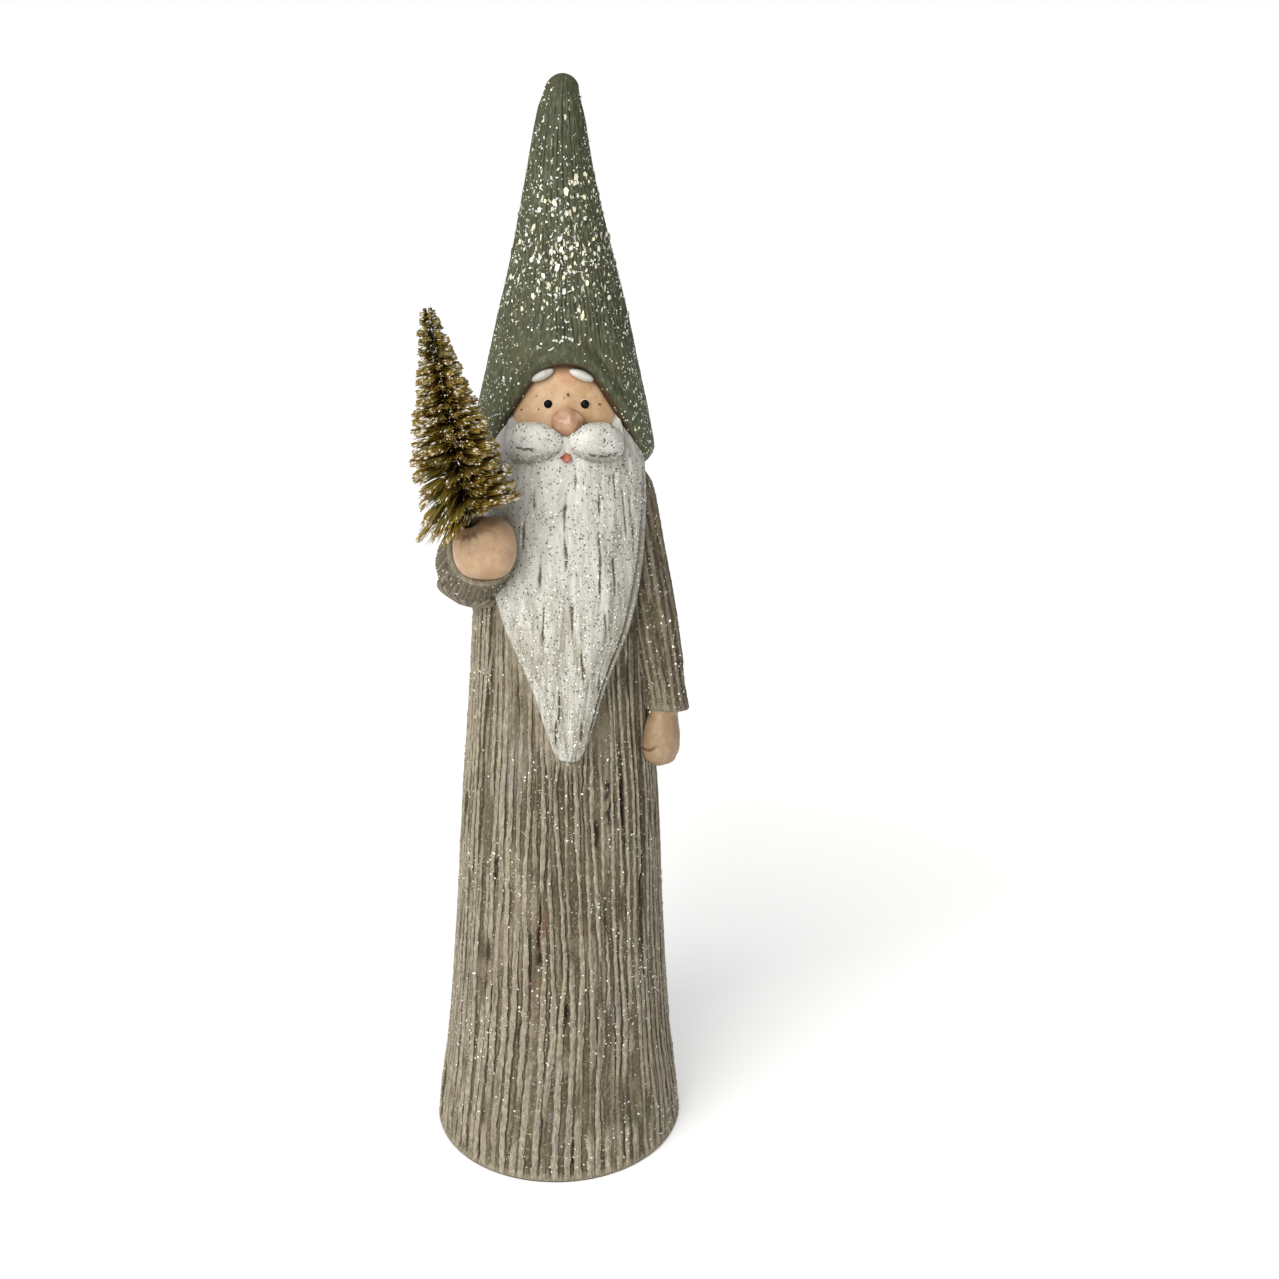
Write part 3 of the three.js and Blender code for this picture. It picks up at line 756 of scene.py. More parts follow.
# ---- the head ----
def head():
    """The head as a hollow bulb, with cheeks, shallow sockets and the bridge of the nose."""
    cols, rows = 260, 110
    z = 276 - 37.5 * np.linspace(0.002, 1, rows) ** 1.35
    outline = curve((238.5, 19.3), (247.5, 22.8), (257, 22.3), (268.5, 16.6), (275, 6.9), (276, 2.0))
    angle = (np.arange(cols) / cols * TAU - math.pi)[None, :]
    zz = z[:, None] + 0 * angle
    radius = np.minimum(outline(zz), 22.9 * np.sqrt(np.clip(276.2 - zz, 0, 99) / 9.5))
    x = radius * np.sin(angle)
    forward = np.cos(angle) > 0
    relief = 0.45 * hill(np.abs(x), 10.5, 4.5) * hill(zz, 251, 4)
    relief = relief + 0.55 * hill(x, -0.4, 2.6) * hill(zz, 257.8, 2.4)
    relief = relief + 0.4 * hill(x, -0.6, 3.0) * hill(zz, 264.2, 1.8)
    for eye in (5.1, -6.0):
        relief = relief - 0.3 * hill(x, eye, 2.4) * hill(zz, 256.3, 2.2)
    radius = radius + relief * forward + 0.05 * noise(angle * 40 / TAU, zz / 3, 41, 40)
    outside = polar(angle, radius, zz)
    shade = hill(zz, 268.2, 1.4) * 0.4
    blush = 0.8 * hill(x, -0.6, 2.8) * hill(zz, 264.6, 2.2) * forward
    inside = polar(angle, np.clip(outline(zz[::6]) - 4, 0.4, None), np.clip(zz[::6] - 0.5, 0, 272))[::-1]
    inside[0, :, :2] *= 9 / np.linalg.norm(inside[0, :, :2], axis=-1, keepdims=True)
    points = np.concatenate([outside, inside])
    values = extended({"shade": shade, "blush": blush}, len(inside))
    piece("head_shell", "figure", closed(points, values), face_skin, ["head"])


# ---- the beard ----
# Carved slits in the beard: angle, height of the lower and upper end.
SLITS = [
    (-2, 208, 228), (17, 224, 230), (16, 200, 219), (-15, 202, 210), (-13, 186, 197), (1, 188, 198),
    (18, 187, 194), (6, 173, 183), (-5, 160, 170), (-7, 153, 161), (7, 154, 160), (15, 170, 175),
    (4, 233, 236), (39, 211, 228), (34, 217, 231), (24, 199, 211), (-26, 214, 222), (-21, 226, 231),
    (28, 229, 236),
]


def beard_grid():
    """The beard's front, the values its paint reads, and its angles and heights."""
    cols, rows = 230, 215
    across = np.linspace(-1, 1, cols)[None, :]
    tip_share, tip_rows = 0.03, 15
    tip_up = tip_share * np.linspace(0, 1, tip_rows + 1)[:-1] ** 1.5
    up = np.concatenate([tip_up, np.linspace(tip_share, 1, rows - tip_rows)])[:, None]
    z = lerp(BEARD_TIP, BEARD_TOP, up) + 0 * across
    angle = across * beard_span(z)
    edge = np.where(angle < 0, 0.765, 0.70)
    beside = step(np.abs(angle), edge, edge + 0.035)
    z = z + 9 * beside * step(up, 0.75, 1)
    crown = np.sqrt(np.clip(1 - np.abs(across) ** 3, 0, 1))
    radius = lerp(35.4, 27.5, up**1.6) + 1.5 * np.sin(math.pi * up) - 3.2 * (1 - crown)
    radius = radius - 2.2 * (1 - step(up, 0, 0.02))
    # Beside the face it thins to a strip that goes up under the brim.
    wide = step(np.abs(angle), 0.5, 0.7)
    brim = rim_height(angle)
    tucked = np.maximum(step(z, brim - 2.0, brim - 0.3) * wide, (1 - wide) * step(z, 247, 249))
    shallow = lerp(np.minimum(radius, 26.6), 23.6, step(z, 246, 255))
    radius = lerp(radius, np.minimum(radius, shallow), wide * step(z, 238, 246))
    radius = lerp(radius, np.minimum(radius, 23.3), tucked)
    degrees = np.degrees(angle)
    # Locks of hair: long soft waves, a flat strip along the left edge, and carved slits.
    locks = 0.5 * noise(across * 4.2 + 0.5, z / 60, 51) + 0.28 * noise(across * 9, z / 28, 52)
    fine = 0.12 * noise(across * 34, z / 9, 53) + 0.08 * noise(across * 75, z / 2.2, 54)
    strip = hill(across, 0.84, 0.035) * step(z, 150, 160) * (1 - step(z, 228, 238))
    strip_left = hill(across, -0.86, 0.03) * step(z, 165, 178) * (1 - step(z, 196, 206)) * 0.4
    radius = radius + (locks + fine) * crown - 1.5 * strip - 0.6 * strip_left
    slit = np.zeros_like(z)
    for i, (where, low, high) in enumerate(SLITS):
        middle = where + 1.1 * noise(z / 7, i * 3.7, 55)
        width = 0.45 * (0.7 + 0.7 * noise(z / 2.6, i * 5.3, 56))
        length = step(z, low - 2, low + 2) * (1 - step(z, high - 2, high + 2))
        slit = np.maximum(slit, hill((degrees - middle) * radius * math.pi / 180, 0, width + 0.06) * length)
    ragged = np.clip(slit * (1.05 + 0.5 * noise(across * 90, z / 1.1, 57)), 0, 1)
    radius = radius - 0.95 * ragged
    # Painted shade: greyer towards the bottom, on the side towards the left hand, away from the light, and a
    # little at the other edge.
    dirt = 0.2 + 1.4 * (1 - step(z, 150, 230))
    dirt = dirt + 0.85 * step(across, 0.15, 0.7) + 0.25 * step(-across, 0.5, 0.9)
    dirt = np.clip(dirt * (0.7 + 0.6 * noise(across * 9, z / 24, 58)), 0, 0.95)
    # Painted shade: the recessed strips and the side away from the light turn grey.
    grey_shade = np.clip(0.95 * strip + 0.4 * strip_left + 0.3 * step(across, 0.5, 0.95), 0, 1)
    values = {"slit": step(ragged, 0.25, 0.8), "shade": grey_shade, "dirt": dirt}
    return polar(angle, radius, z), values, angle, z


def beard():
    """The beard as a slab on the robe and the head. Returns its front."""
    front, values, angle, z = beard_grid()
    # The back of the slab lies just inside the robe and the head, so the luted seam shows no gap.
    depth = np.minimum(robe_radius(z) - 1.6, 24.5)
    depth = np.where(z > 236, 21.0, np.maximum(depth, 20))
    depth = np.where(z < 200, robe_radius(z) - 1.6, depth)
    depth = np.minimum(depth, np.hypot(front[..., 0], front[..., 1]) - 0.8)
    back = polar(angle, depth, z)[:, ::-1]
    points = np.concatenate([front, back], 1)
    blank = np.zeros(z.shape)
    values = {k: np.concatenate([v, blank], 1) for k, v in values.items()}
    piece("beard_slab", "figure", closed(points, values), beard_coat, ["beard"])
    return front


# ---- small face pieces ----
def globe(cols, rows):
    """Directions over a ball, with its poles at the left and right hand."""
    turn = (np.arange(cols) / cols * TAU)[None, :]
    tip = np.linspace(0.012, 0.988, rows)[:, None] * math.pi
    return np.stack([np.cos(tip) + 0 * turn, -np.sin(tip) * np.cos(turn), np.sin(tip) * np.sin(turn)], -1)


def moustache(name, side, middle, wide, creases):
    """A lobe of the moustache. A crease is its two ends across, its height, its bend and its width."""
    d = globe(120, 150)
    full = (np.abs(d) ** 2.5).sum(-1, keepdims=True) ** (-1 / 2.5)
    local = d * full * np.array([wide, 5.0, 5.8])
    out = local[..., 0] * side
    droop = np.where(out > 0, -0.012 * out**2, 0)
    points = np.stack([
        local[..., 0], local[..., 1] + 0.025 * out**2 + 0.12 * out,
        local[..., 2] * (1 + 0.022 * out - 0.0015 * out**2) + droop,
    ], -1)
    slit = np.zeros(out.shape)
    for x0, x1, z0, bend, width in creases:
        t = (local[..., 0] - x0) / (x1 - x0)
        line = z0 + bend * (4 * (t - 0.5) ** 2 - 1) + 0.25 * noise(local[..., 0] * 1.3, 3.3, 61)
        length = step(t, -0.08, 0.12) * (1 - step(t, 0.88, 1.08))
        slit = np.maximum(slit, hill(points[..., 2] - line, 0, width) * length * (d[..., 1] < 0.2))
    strands = 0.10 * noise(points[..., 2] * 1.5, local[..., 0] / 6, 62) + 0.05 * lumps(points, 1.1, 63)
    points = points + d * (strands - 0.75 * slit)[..., None]
    points = points + np.array([middle, -26.0, 245.3])
    shade = step(-d[..., 2], 0.1, 0.8) * 0.95
    parts = closed(points, {"slit": step(slit, 0.25, 0.7), "shade": shade})
    piece(f"whiskers_{name}", "figure", parts, whisker_coat, [f"moustache_{name}"])
    return points


def nose():
    """A pinched knob of clay."""
    d = globe(96, 80)
    points = d * np.array([4.9, 4.4, 4.1])
    points = points + d * (0.25 * lumps(points, 2.6, 64) + 0.12 * lumps(points, 0.9, 65))[..., None]
    # A few flat facets, as a thumb leaves them.
    for facet in ((-0.45, -0.8, 0.4), (0.5, -0.75, 0.42), (-0.2, -0.9, -0.4), (0.75, -0.5, -0.35)):
        flat = unit(np.array(facet)) * 4.0
        over = np.clip((points * unit(flat)).sum(-1) - 3.95, 0, None)
        points = points - over[..., None] * unit(flat) * 0.7
    # Pale marks on the upper side towards the right hand, which faces the light: partly scratches and partly
    # a painted highlight.
    scratch = hill(points[..., 0], -1.2, 1.6) * hill(points[..., 2], 0.8, 1.8) * (d[..., 1] < 0)
    scratch = scratch * step(lumps(points, 0.8, 68), 0.1, 0.5)
    points = points + np.array([-0.15, -25.0, 251.1])
    values = {"scratch": scratch * 0.6, "shade": step(-d[..., 2], 0.1, 0.9) * 0.6}
    piece("nose_knob", "figure", closed(points, values), nose_skin, ["nose"])


def eyebrow(name, x, turn):
    """A white oval below the brim."""
    d = globe(64, 60)
    points = d * np.array([3.9, 2.8, 1.5])
    points = tilted(points + d * (0.12 * lumps(points, 1.6, 66))[..., None], turn)
    place = np.array([x, -math.sqrt(20.7**2 - x * x), 264.5])
    parts = closed(points + place, {"slit": 0, "shade": step(-d[..., 2], 0.5, 1) * 0.2})
    piece(f"brow_{name}", "figure", parts, whisker_coat, [f"eyebrow_{name}"])


def eye(name, x, radius):
    """A black bead in a paler ring."""
    d = globe(48, 40)
    place = np.array([x, -math.sqrt(22.35**2 - x * x), 256.1])
    bead = closed(d * np.array([radius, 0.95, radius]) + place)
    piece(f"bead_{name}", "figure", bead, eye_gloss, [f"eye_{name}"])
    socket = closed(d * np.array([radius + 0.2, 0.55, radius + 0.2]) + place + np.array([0, 0.12, 0]))
    piece(f"eye_ring_{name}", "figure", socket, ring_paint)


def freckles():
    """Flecks of brown on the face: angle, height, width, slant."""
    marks = ((-24, 258.5, 0.4, 0), (0, 259, 0.75, 0.2), (-36, 254, 0.65, 0.9), (-22, 254.5, 0.5, 0),
             (-3, 258, 0.3, 0), (25, 256, 0.5, 1.4), (31, 252.5, 0.35, 0.8), (-42, 251, 0.45, 0.5),
             (-12, 259.5, 0.25, 0), (6, 260.5, 0.25, 0), (18, 261, 0.3, 0))
    bodies = []
    d = globe(10, 8)
    for where, z, wide, slant in marks:
        angle = math.radians(where)
        local = tilted(d * np.array([wide / 2, 0.22, wide * (0.5 + 0.35 * abs(slant))]), slant)
        out = np.array([math.sin(angle), -math.cos(angle), 0])
        aside = np.array([math.cos(angle), math.sin(angle), 0])
        radius = 22.95 - max(0, z - 257) * 0.06
        place = radius * out + np.array([0, 0, z])
        spot = place + local[..., 0, None] * aside - local[..., 1, None] * out
        bodies.append(closed(spot + local[..., 2, None] * np.array([0, 0, 1.0])))
    piece("freckles", "figure", joined(*bodies), fleck_paint)


def mouth():
    """A pellet like a diamond, with a dent, and painted shadow over the dent."""
    d = globe(64, 60)
    squash = 1 / (np.abs(d[..., 0]) + np.abs(d[..., 2]) + 0.25 * np.abs(d[..., 1])).clip(0.7)
    points = d * np.array([2.1, 1.7, 1.75]) * squash[..., None]
    dent = hill(points[..., 0], -0.6, 0.5) * hill(points[..., 2], 0.2, 0.8)
    points = points + d * (0.10 * lumps(points, 0.9, 67) - 0.35 * dent)[..., None]
    place = np.array([-0.95, -28.3, 241.1])
    # Painted shadow over the dent and the upper side towards the right hand.
    painted_dent_shadow = step(-points[..., 0], -0.2, 1.0) * step(points[..., 2], -0.7, 0.3)
    parts = closed(points + place, {"slit": 0.75 * painted_dent_shadow})
    piece("mouth_pellet", "figure", parts, mouth_paint, ["mouth"])


# ---- arms ----
def spline(knots, t):
    """Points of a smooth path through knots at t from 0 to 1."""
    knots = np.array(knots, float)
    h = np.linspace(0, 1, len(knots))
    return np.stack([curve(*zip(h, knots[:, i]))(t) for i in range(3)], -1)


def swept(path, radius, angle):
    """A grid swept along a path. The angle is measured from the outer side towards the front."""
    tangent = unit(np.gradient(path, axis=0))
    front = unit(np.cross(tangent, np.array([1.0, 0, 0])))
    outer = np.cross(front, tangent)
    r, a = radius[..., None], angle[..., None]
    return path[:, None] + r * (np.cos(a) * outer[:, None] + np.sin(a) * front[:, None])


def sleeve(knots, size, ribs, rows, seed, folds, close, opening=0.76, hollow=3.6, relief=0.6, tone=1.0):
    """A ribbed sleeve with a hollow cuff. size(t) is its radius, close(t) rounds its upper end."""
    t = np.linspace(0, 1, rows)
    length = np.linalg.norm(np.diff(spline(knots, t), axis=0), axis=1).sum()
    share = 0.56 + 0.1 * noise(np.arange(ribs)[None, :], t[:, None] * length / 20, seed, ribs)
    turn, drop, groove, line = ribbing(ribs, t * length, seed + 1, share, relief)
    angle = turn * TAU
    tt = t[:, None]
    cut = np.zeros_like(angle)
    for where, low, high, deep in folds:
        away = (np.degrees(angle) - where - 5 * noise(tt * 4, where, seed + 2) + 180) % 360 - 180
        fold = hill(away, 0, 3.4) * step(tt, low, low + 0.1) * (1 - step(tt, high - 0.1, high))
        drop = drop + deep * fold
        cut = np.maximum(cut, fold * (0.5 + 0.5 * noise(tt * length / 2.5, where, seed + 3)))
    near_cuff = step(tt, 1 - 3.5 / length, 1 - 0.8 / length)
    drop = drop * (1 - 0.75 * near_cuff)
    radius = (size(tt) - drop) * close(tt)
    outside = swept(spline(knots, t), radius, angle)
    path, before = spline(knots, np.array([1.0, 0.999]))
    along = unit(path - before)
    rings = []
    for u in 0.5 * (1 - np.cos(np.linspace(0, math.pi, 9)[1:])):
        shrink = 1 - size(1.0) * (1 - opening) * u / radius[-1][:, None]
        rings.append(path + (outside[-1] - path) * shrink + along * 0.45 * math.sin(math.pi * u))
    for inward, deep in ((opening, hollow), (0.3, hollow + 0.4)):
        shrink = size(1.0) * inward / radius[-1][:, None]
        rings.append(path + (outside[-1] - path) * shrink - along * deep)
    points = np.concatenate([outside, np.stack(rings)])
    fade = tone * (1 - 0.5 * near_cuff)
    # line is painted shade at the feet of the ribs, weaker near the cuff.
    values = {"groove": groove * fade + 1.1 * (1 - tone), "line": line * fade, "cut": cut * 0.9}
    return points, extended(values, len(rings), groove=0.3), outside


def rounded(share, least):
    """A function of t that closes the first share of a sleeve like a ball."""
    return lambda t: np.sqrt(np.clip(1 - (1 - np.clip(t / share, 0, 1)) ** 2, least, 1))


def left_sleeve():
    """The hanging sleeve. Returns its outside."""
    knots = [(20.2, -5, 236), (25.0, -9, 208), (29.5, -12.7, 181), (33.2, -15.7, 158)]
    folds = [(38, 0.05, 0.97, 1.3), (20, 0.25, 1.0, 1.1), (62, 0.1, 0.7, 0.45), (-30, 0.3, 0.9, 0.8),
             (2, 0.5, 0.95, 0.9), (95, 0.45, 0.9, 0.3)]
    points, values, outside = sleeve(
        knots, lambda t: 7.45 + 0.75 * hill(t, 0.62, 0.35) - 0.1 * t, 19, 170, 81, folds,
        rounded(0.12, 0.01), relief=0.75, tone=0.62,
    )
    # The cuff's rim lies level.
    points[..., 2] -= 0.2 * (points[..., 0] - 33.2) * (1 - step(points[..., 2], 158, 178))
    piece("sleeve_l", "figure", closed(points, values), robe_coat, ["sleeve_left"])
    return outside


def right_sleeve():
    """The bent sleeve, in two parts that meet at the elbow. Returns the fore one's outside."""
    t = np.linspace(0.0, 1, 110)
    upper_knots = [(-18, -3, 237), (-24.2, -7.5, 214), (-30.3, -12, 191.8)]
    turn, drop, groove, line = ribbing(22, t * 46, 91, 0.5 + np.zeros((110, 22)), 0.6)
    shape = curve((0, 0.12), (0.08, 0.8), (0.4, 1), (0.8, 1), (0.96, 0.78), (1, 0.3))(t)
    path = spline(upper_knots, t)
    radius = ((8.4 + 2.6 * t) * shape)[:, None] - drop * np.clip(shape, 0, 1)[:, None] - 0.1
    # line is painted shade at the feet of the ribs.
    values = {"groove": groove, "line": line, "cut": 0 * groove}
    upper = closed(swept(path, radius, turn * TAU), values)
    # The low tone paints the forearm darker, as painted shade where less light falls on it.
    fore, values, outside = sleeve(
        [(-27.6, 0, 205.2), (-27.7, -15.5, 206.6), (-26.0, -32.2, 213.9)],
        lambda t: 12.0 + 0.5 * hill(t, 0.5, 0.25) - 1.5 * step(t, 0.45, 1), 36, 110, 95,
        [(60, 0.3, 0.85, 0.3)], rounded(0.25, 0.02), opening=0.8, hollow=2.6, relief=0.28, tone=0.45,
    )
    piece("sleeve_r", "figure", joined(upper, closed(fore, values)), robe_coat, ["sleeve_right"])
    return outside


def mitten():
    """The hanging left hand: curled fingers, with the thumb laid over them."""
    cols, rows = 120, 130
    t = np.linspace(0.004, 0.996, rows)[:, None]
    turn = (np.arange(cols) / cols * TAU)[None, :]
    path = lerp(np.array([32.4, -16.6, 160.6]), np.array([30.4, -19.3, 139.0]), t)
    shape = curve((0, 0.3), (0.03, 0.62), (0.2, 0.76), (0.55, 1), (0.8, 0.93), (0.93, 0.62), (1, 0.06))(t)
    radius = 6.1 * shape + 0 * turn
    front = np.sin(turn)
    side = np.cos(turn)
    # The crease under the thumb starts at the inner side and curls up over the front.
    line = 0.755 - 0.17 * step(side, -0.9, 0.1) + 0.03 * noise(side * 2, 1.7, 101)
    crease = hill(t, line, 0.022) * (front > 0) * step(-side, 0.2, 0.55)
    radius = radius - 0.65 * crease + 0.5 * hill(t, line - 0.12, 0.09) * hill(turn, 2.0, 0.5)
    for where in (0.9, 1.5):
        radius = radius - 0.18 * hill(turn, where, 0.10) * step(t, 0.62, 0.75) * (1 - step(t, 0.93, 1))
    radius = radius + 0.07 * noise(turn * 12 / TAU, t * 9, 102, 12)
    points = swept(path, radius, turn + 0 * radius)
    values = {"slit": crease * 0.75, "shade": 0.3 * step(t, 0.75, 1) + 0 * turn, "scratch": 0}
    piece("mitten", "figure", closed(points, values), hand_skin, ["hand_left"])


# ---- the tree's frame ----
STEM_FOOT = np.array([-26.6, -37.5, 208.5])
STEM_TIP = np.array([-40.3, -40.0, 284.0])
STEM_LENGTH = float(np.linalg.norm(STEM_TIP - STEM_FOOT))
STEM = (STEM_TIP - STEM_FOOT) / STEM_LENGTH
STEM_X = unit(np.array([1.0, 0, 0]) - STEM[0] * STEM)
STEM_Y = np.cross(STEM, STEM_X)


def on_stem(across, ahead, height):
    """Points from a frame whose height runs up the stem. ahead is away from the viewer."""
    across, ahead, height = (np.asarray(v, float)[..., None] for v in (across, ahead, height))
    return STEM_FOOT + across * STEM_X + ahead * STEM_Y + height * STEM


# Grooves between the fingers: the turn about the stem, where they start and end below the hole, depth.
FINGER_GROOVES = [
    (-2.15, 0.45, 1.35, 0.5), (-1.75, 0.5, 1.5, 0.42), (-1.35, 0.45, 1.25, 0.38), (-2.6, 0.5, 1.2, 0.35),
    (-0.7, 0.6, 1.6, 0.25),
]


def fist():
    """The right fist, with its blind hole for the tree, and the wrist that goes into the sleeve."""
    centre = np.array([-25.4, -36.0, 215.9])
    half = np.array([9.5, 9.2, 9.3])
    hub = STEM_FOOT + STEM * ((centre - STEM_FOOT) @ STEM)
    cols = 150
    turn = (np.arange(cols) / cols * TAU)[None, :]
    hole, hole_floor = 3.0, 0.05
    tip = np.linspace(0.32, math.pi - 0.015, 120)[:, None]
    d = (np.sin(tip) * np.cos(turn))[..., None] * STEM_X + (np.sin(tip) * np.sin(turn))[..., None] * STEM_Y
    d = d + (np.cos(tip) + 0 * turn)[..., None] * STEM
    o = (hub - centre) / half
    e = d / half
    a, b, c = (e * e).sum(-1), (e * o).sum(-1), (o * o).sum() - 1
    reach = (-b + np.sqrt(b * b - a * c)) / a
    outside = hub + d * reach[..., None]
    square = (np.abs((outside - centre) / half) ** 2.45).sum(-1, keepdims=True) ** (-1 / 2.45)
    outside = centre + (outside - centre) * lerp(1, square, step(tip, 0.5, 0.9)[..., None])
    # Fingers: soft grooves that fan down the front from the hole.
    groove = np.zeros(reach.shape)
    for where, low, high, deep in FINGER_GROOVES:
        away = (turn - where - 0.14 * noise(tip * 3, where, 111) + math.pi) % TAU - math.pi
        window = step(tip, low, low + 0.25) * (1 - step(tip, high - 0.6, high))
        groove = np.maximum(groove, deep * hill(away, 0, 0.10) * window)
    outside = outside - d * (groove + 0.12)[..., None] + d * (0.10 * lumps(outside, 4, 112))[..., None]
    # The hole: its wall meets the first ring of the outside.
    brink = (outside[0] - STEM_FOOT) @ STEM
    walls = [
        on_stem(hole * np.cos(turn[0]), hole * np.sin(turn[0]), lerp(hole_floor, brink - 0.5, u))
        for u in (0.0, 0.02, 0.5, 0.93)
    ]
    points = np.concatenate([np.stack(walls), outside])
    values = {"slit": groove * 0.12, "shade": 0.65 * step(tip, 1.8, 3.0) + 0 * turn}
    ball = closed(points, {**extended(values, len(walls), first=True, slit=0.4), "scratch": 0})
    t = np.linspace(0, 1, 12)[:, None]
    wrist_path = lerp(np.array([-26.9, -25.5, 210.6]), np.array([-26.0, -31.0, 213.0]), t)
    tube = swept(wrist_path, 8.9 + 0 * t + 0 * turn, turn + 0 * t)
    wrist = closed(tube, {"slit": 0, "shade": 0, "scratch": 0})
    piece("fist", "figure", ball, fist_skin, ["hand_right"])
    piece("wrist", "figure", wrist, fist_skin)


def strand(name, phase):
    """One of the two wires that are twisted into the stem."""
    t = np.linspace(0, 1, 260)
    angle = phase + t * 6 * TAU
    path = on_stem(0.77 * np.cos(angle), 0.77 * np.sin(angle), lerp(0.8, STEM_LENGTH, t))
    tangent = unit(np.gradient(path, axis=0))
    a = unit(np.cross(tangent, STEM_Y))
    b = np.cross(tangent, a)
    turn = np.arange(14) / 14 * TAU
    ring = np.cos(turn)[None, :, None] * a[:, None] + np.sin(turn)[None, :, None] * b[:, None]
    points = path[:, None] + 0.55 * ring
    piece(f"wire_{name}", "tree", closed(points), wire_coat, [f"tree_wire_{name}"])


# ---- the bristles ----
CLUMPS = 350


def bristle_places(count, seed, rng):
    """Where the bristles of the twisted wire go.

    Two ribbons of them wind up the stem, and within a ribbon they stick together in clumps. Returns
    arrays: each one's clump, its turn about the stem, its height there, length, rise and fork.
    """
    start, top, tiers = 19.0, STEM_LENGTH - 0.6, 10.5

    def spread(n):
        u = 1 - np.sqrt(1 - rng.uniform(0, 1, n))
        return np.where(rng.uniform(0, 1, n) < 0.44, rng.uniform(0, 1, n), u)

    u = spread(count)
    clump = rng.integers(0, CLUMPS, count)
    clump_u = spread(CLUMPS)
    clump_turn = rng.uniform(0, TAU, CLUMPS)
    tier = np.round(clump_u * tiers * 2 - clump_turn / math.pi) / 2
    tier_u = np.clip((tier * 2 + clump_turn / math.pi) / (2 * tiers), 0, 1)
    # Some keep out of the clumps, more of them higher up. They are shorter and hide the wire.
    keep = rng.uniform(0, 1, count) < 0.92 - 0.2 * step(u, 0.3, 0.6)
    own = rng.normal(0, 1, (count, 3))
    height = np.where(keep, tier_u[clump] + own[:, 0] * 0.0065, u)
    height = np.clip(height, 0, 0.995)
    turn = np.where(keep, clump_turn[clump] + own[:, 1] * 0.075, rng.uniform(0, TAU, count))
    ragged = 1 + 0.09 * noise(turn * 9 / TAU, height * 22, seed + 1, 9)
    reach = rng.uniform(0.86, 1.0, CLUMPS)[clump] * rng.uniform(0.9, 1.0, count)
    longer = 0.07 * np.clip(-np.cos(turn), 0, 1) * step(height, 0.18, 0.4)
    length = lerp(17.1, 2.5, height**1.1) * (1 + longer) * ragged.clip(0, 1.02)
    length = length * np.where(keep, reach, rng.uniform(0.55, 0.9, count))
    # The lowest ones droop on one side and rise on the other.
    low = 1 - step(height, 0.0, 0.34)
    aside = np.clip(-np.cos(turn), 0, 1) ** 0.6
    rise = 0.02 - 0.58 * low * aside + 0.14 * low * np.clip(np.cos(turn), 0, 1)
    rise = rise + own[:, 2] * 0.018 + 0.035 * rng.normal(0, 1, CLUMPS)[clump] * keep
    fork = 0.07 * rng.normal(0, 1, count)
    return clump, turn, lerp(start, top, height), length, rise, fork


def bristles(count, seed):
    """Thin three-sided bristles, and the frost on the tips of some."""
    rng = np.random.default_rng(seed)
    clump, turn, base, length, rise, fork = bristle_places(count, seed, rng)

    def along(share):
        out = 0.7 + (length - 0.7) * share
        a = turn + fork * share * 2.2 / length.clip(3)
        side = -np.sin(a)[:, None] * STEM_X + np.cos(a)[:, None] * STEM_Y
        return on_stem(out * np.cos(a), out * np.sin(a), base + rise * out * share), a, side

    rings = []
    sections = ((0.0, 0.14), (0.7, 0.15), (1.0, 0.13))
    for share, thick in sections:
        centre, _, side = along(share)
        for k in range(3):
            w = k * TAU / 3
            rings.append(centre + (math.cos(w) * side + math.sin(w) * STEM) * thick)
    verts = np.stack(rings, 1).reshape(-1, 3)
    per = len(sections) * 3
    first = np.arange(count)[:, None] * per
    walls = []
    for s in range(len(sections) - 1):
        for k in range(3):
            n = (k + 1) % 3
            walls.append(first + np.array([[s * 3 + k, s * 3 + n, s * 3 + 3 + n, s * 3 + 3 + k]]))
    ends = [first + np.array([[2, 1, 0]]), first + per - 3 + np.array([[0, 1, 2]])]
    faces = [np.concatenate(walls), np.concatenate(ends)]
    ring_of = np.tile(np.repeat(np.arange(len(sections)), 3), count)
    each = np.repeat(np.arange(count), per)
    tipped = rng.uniform(0, 1, count) < 0.07 + 0.19 * np.abs(np.cos(turn))
    values = {
        "frost": np.array([0, 0.0, 0.7])[ring_of] * tipped[each],
        # root is how near the wire a ring lies, where the paint puts shade.
        "root": np.array([1.0, 0.12, 0])[ring_of],
        "tone": (0.5 * rng.uniform(0, 1, CLUMPS)[clump] + 0.5 * rng.uniform(0, 1, count))[each],
    }
    tip, a, side = along(1.0)
    axis = unit(tip - along(0.93)[0])
    beads = frost_beads(tip[tipped], axis[tipped], side[tipped], a[tipped], rng)
    return (verts, outward(verts, faces), values), beads


def frost_beads(tip, axis, side, turn, rng):
    """A small bead on each tip, drawn out along the bristle."""
    count = len(tip)
    other = np.cross(axis, side)
    fat = rng.uniform(0.24, 0.5, (count, 1)) * (0.6 + 0.4 * np.abs(np.cos(turn)))[:, None]
    long = fat * rng.uniform(1.4, 5.0, (count, 1))
    middle = tip - axis * (long - 0.15)
    corners = [middle + axis * long * 0.95, middle - axis * long]
    for k in range(4):
        w = k * TAU / 4
        corners.append(middle + fat * (math.cos(w) * side + math.sin(w) * other))
    first = np.arange(count)[:, None] * 6
    beads = np.concatenate([
        first + np.array([[cap, *pair]])
        for k in range(4)
        for cap, pair in ((0, (2 + k, 2 + (k + 1) % 4)), (1, (2 + (k + 1) % 4, 2 + k)))
    ])
    verts = np.stack(corners, 1).reshape(-1, 3)
    return verts, outward(verts, [beads]), {}


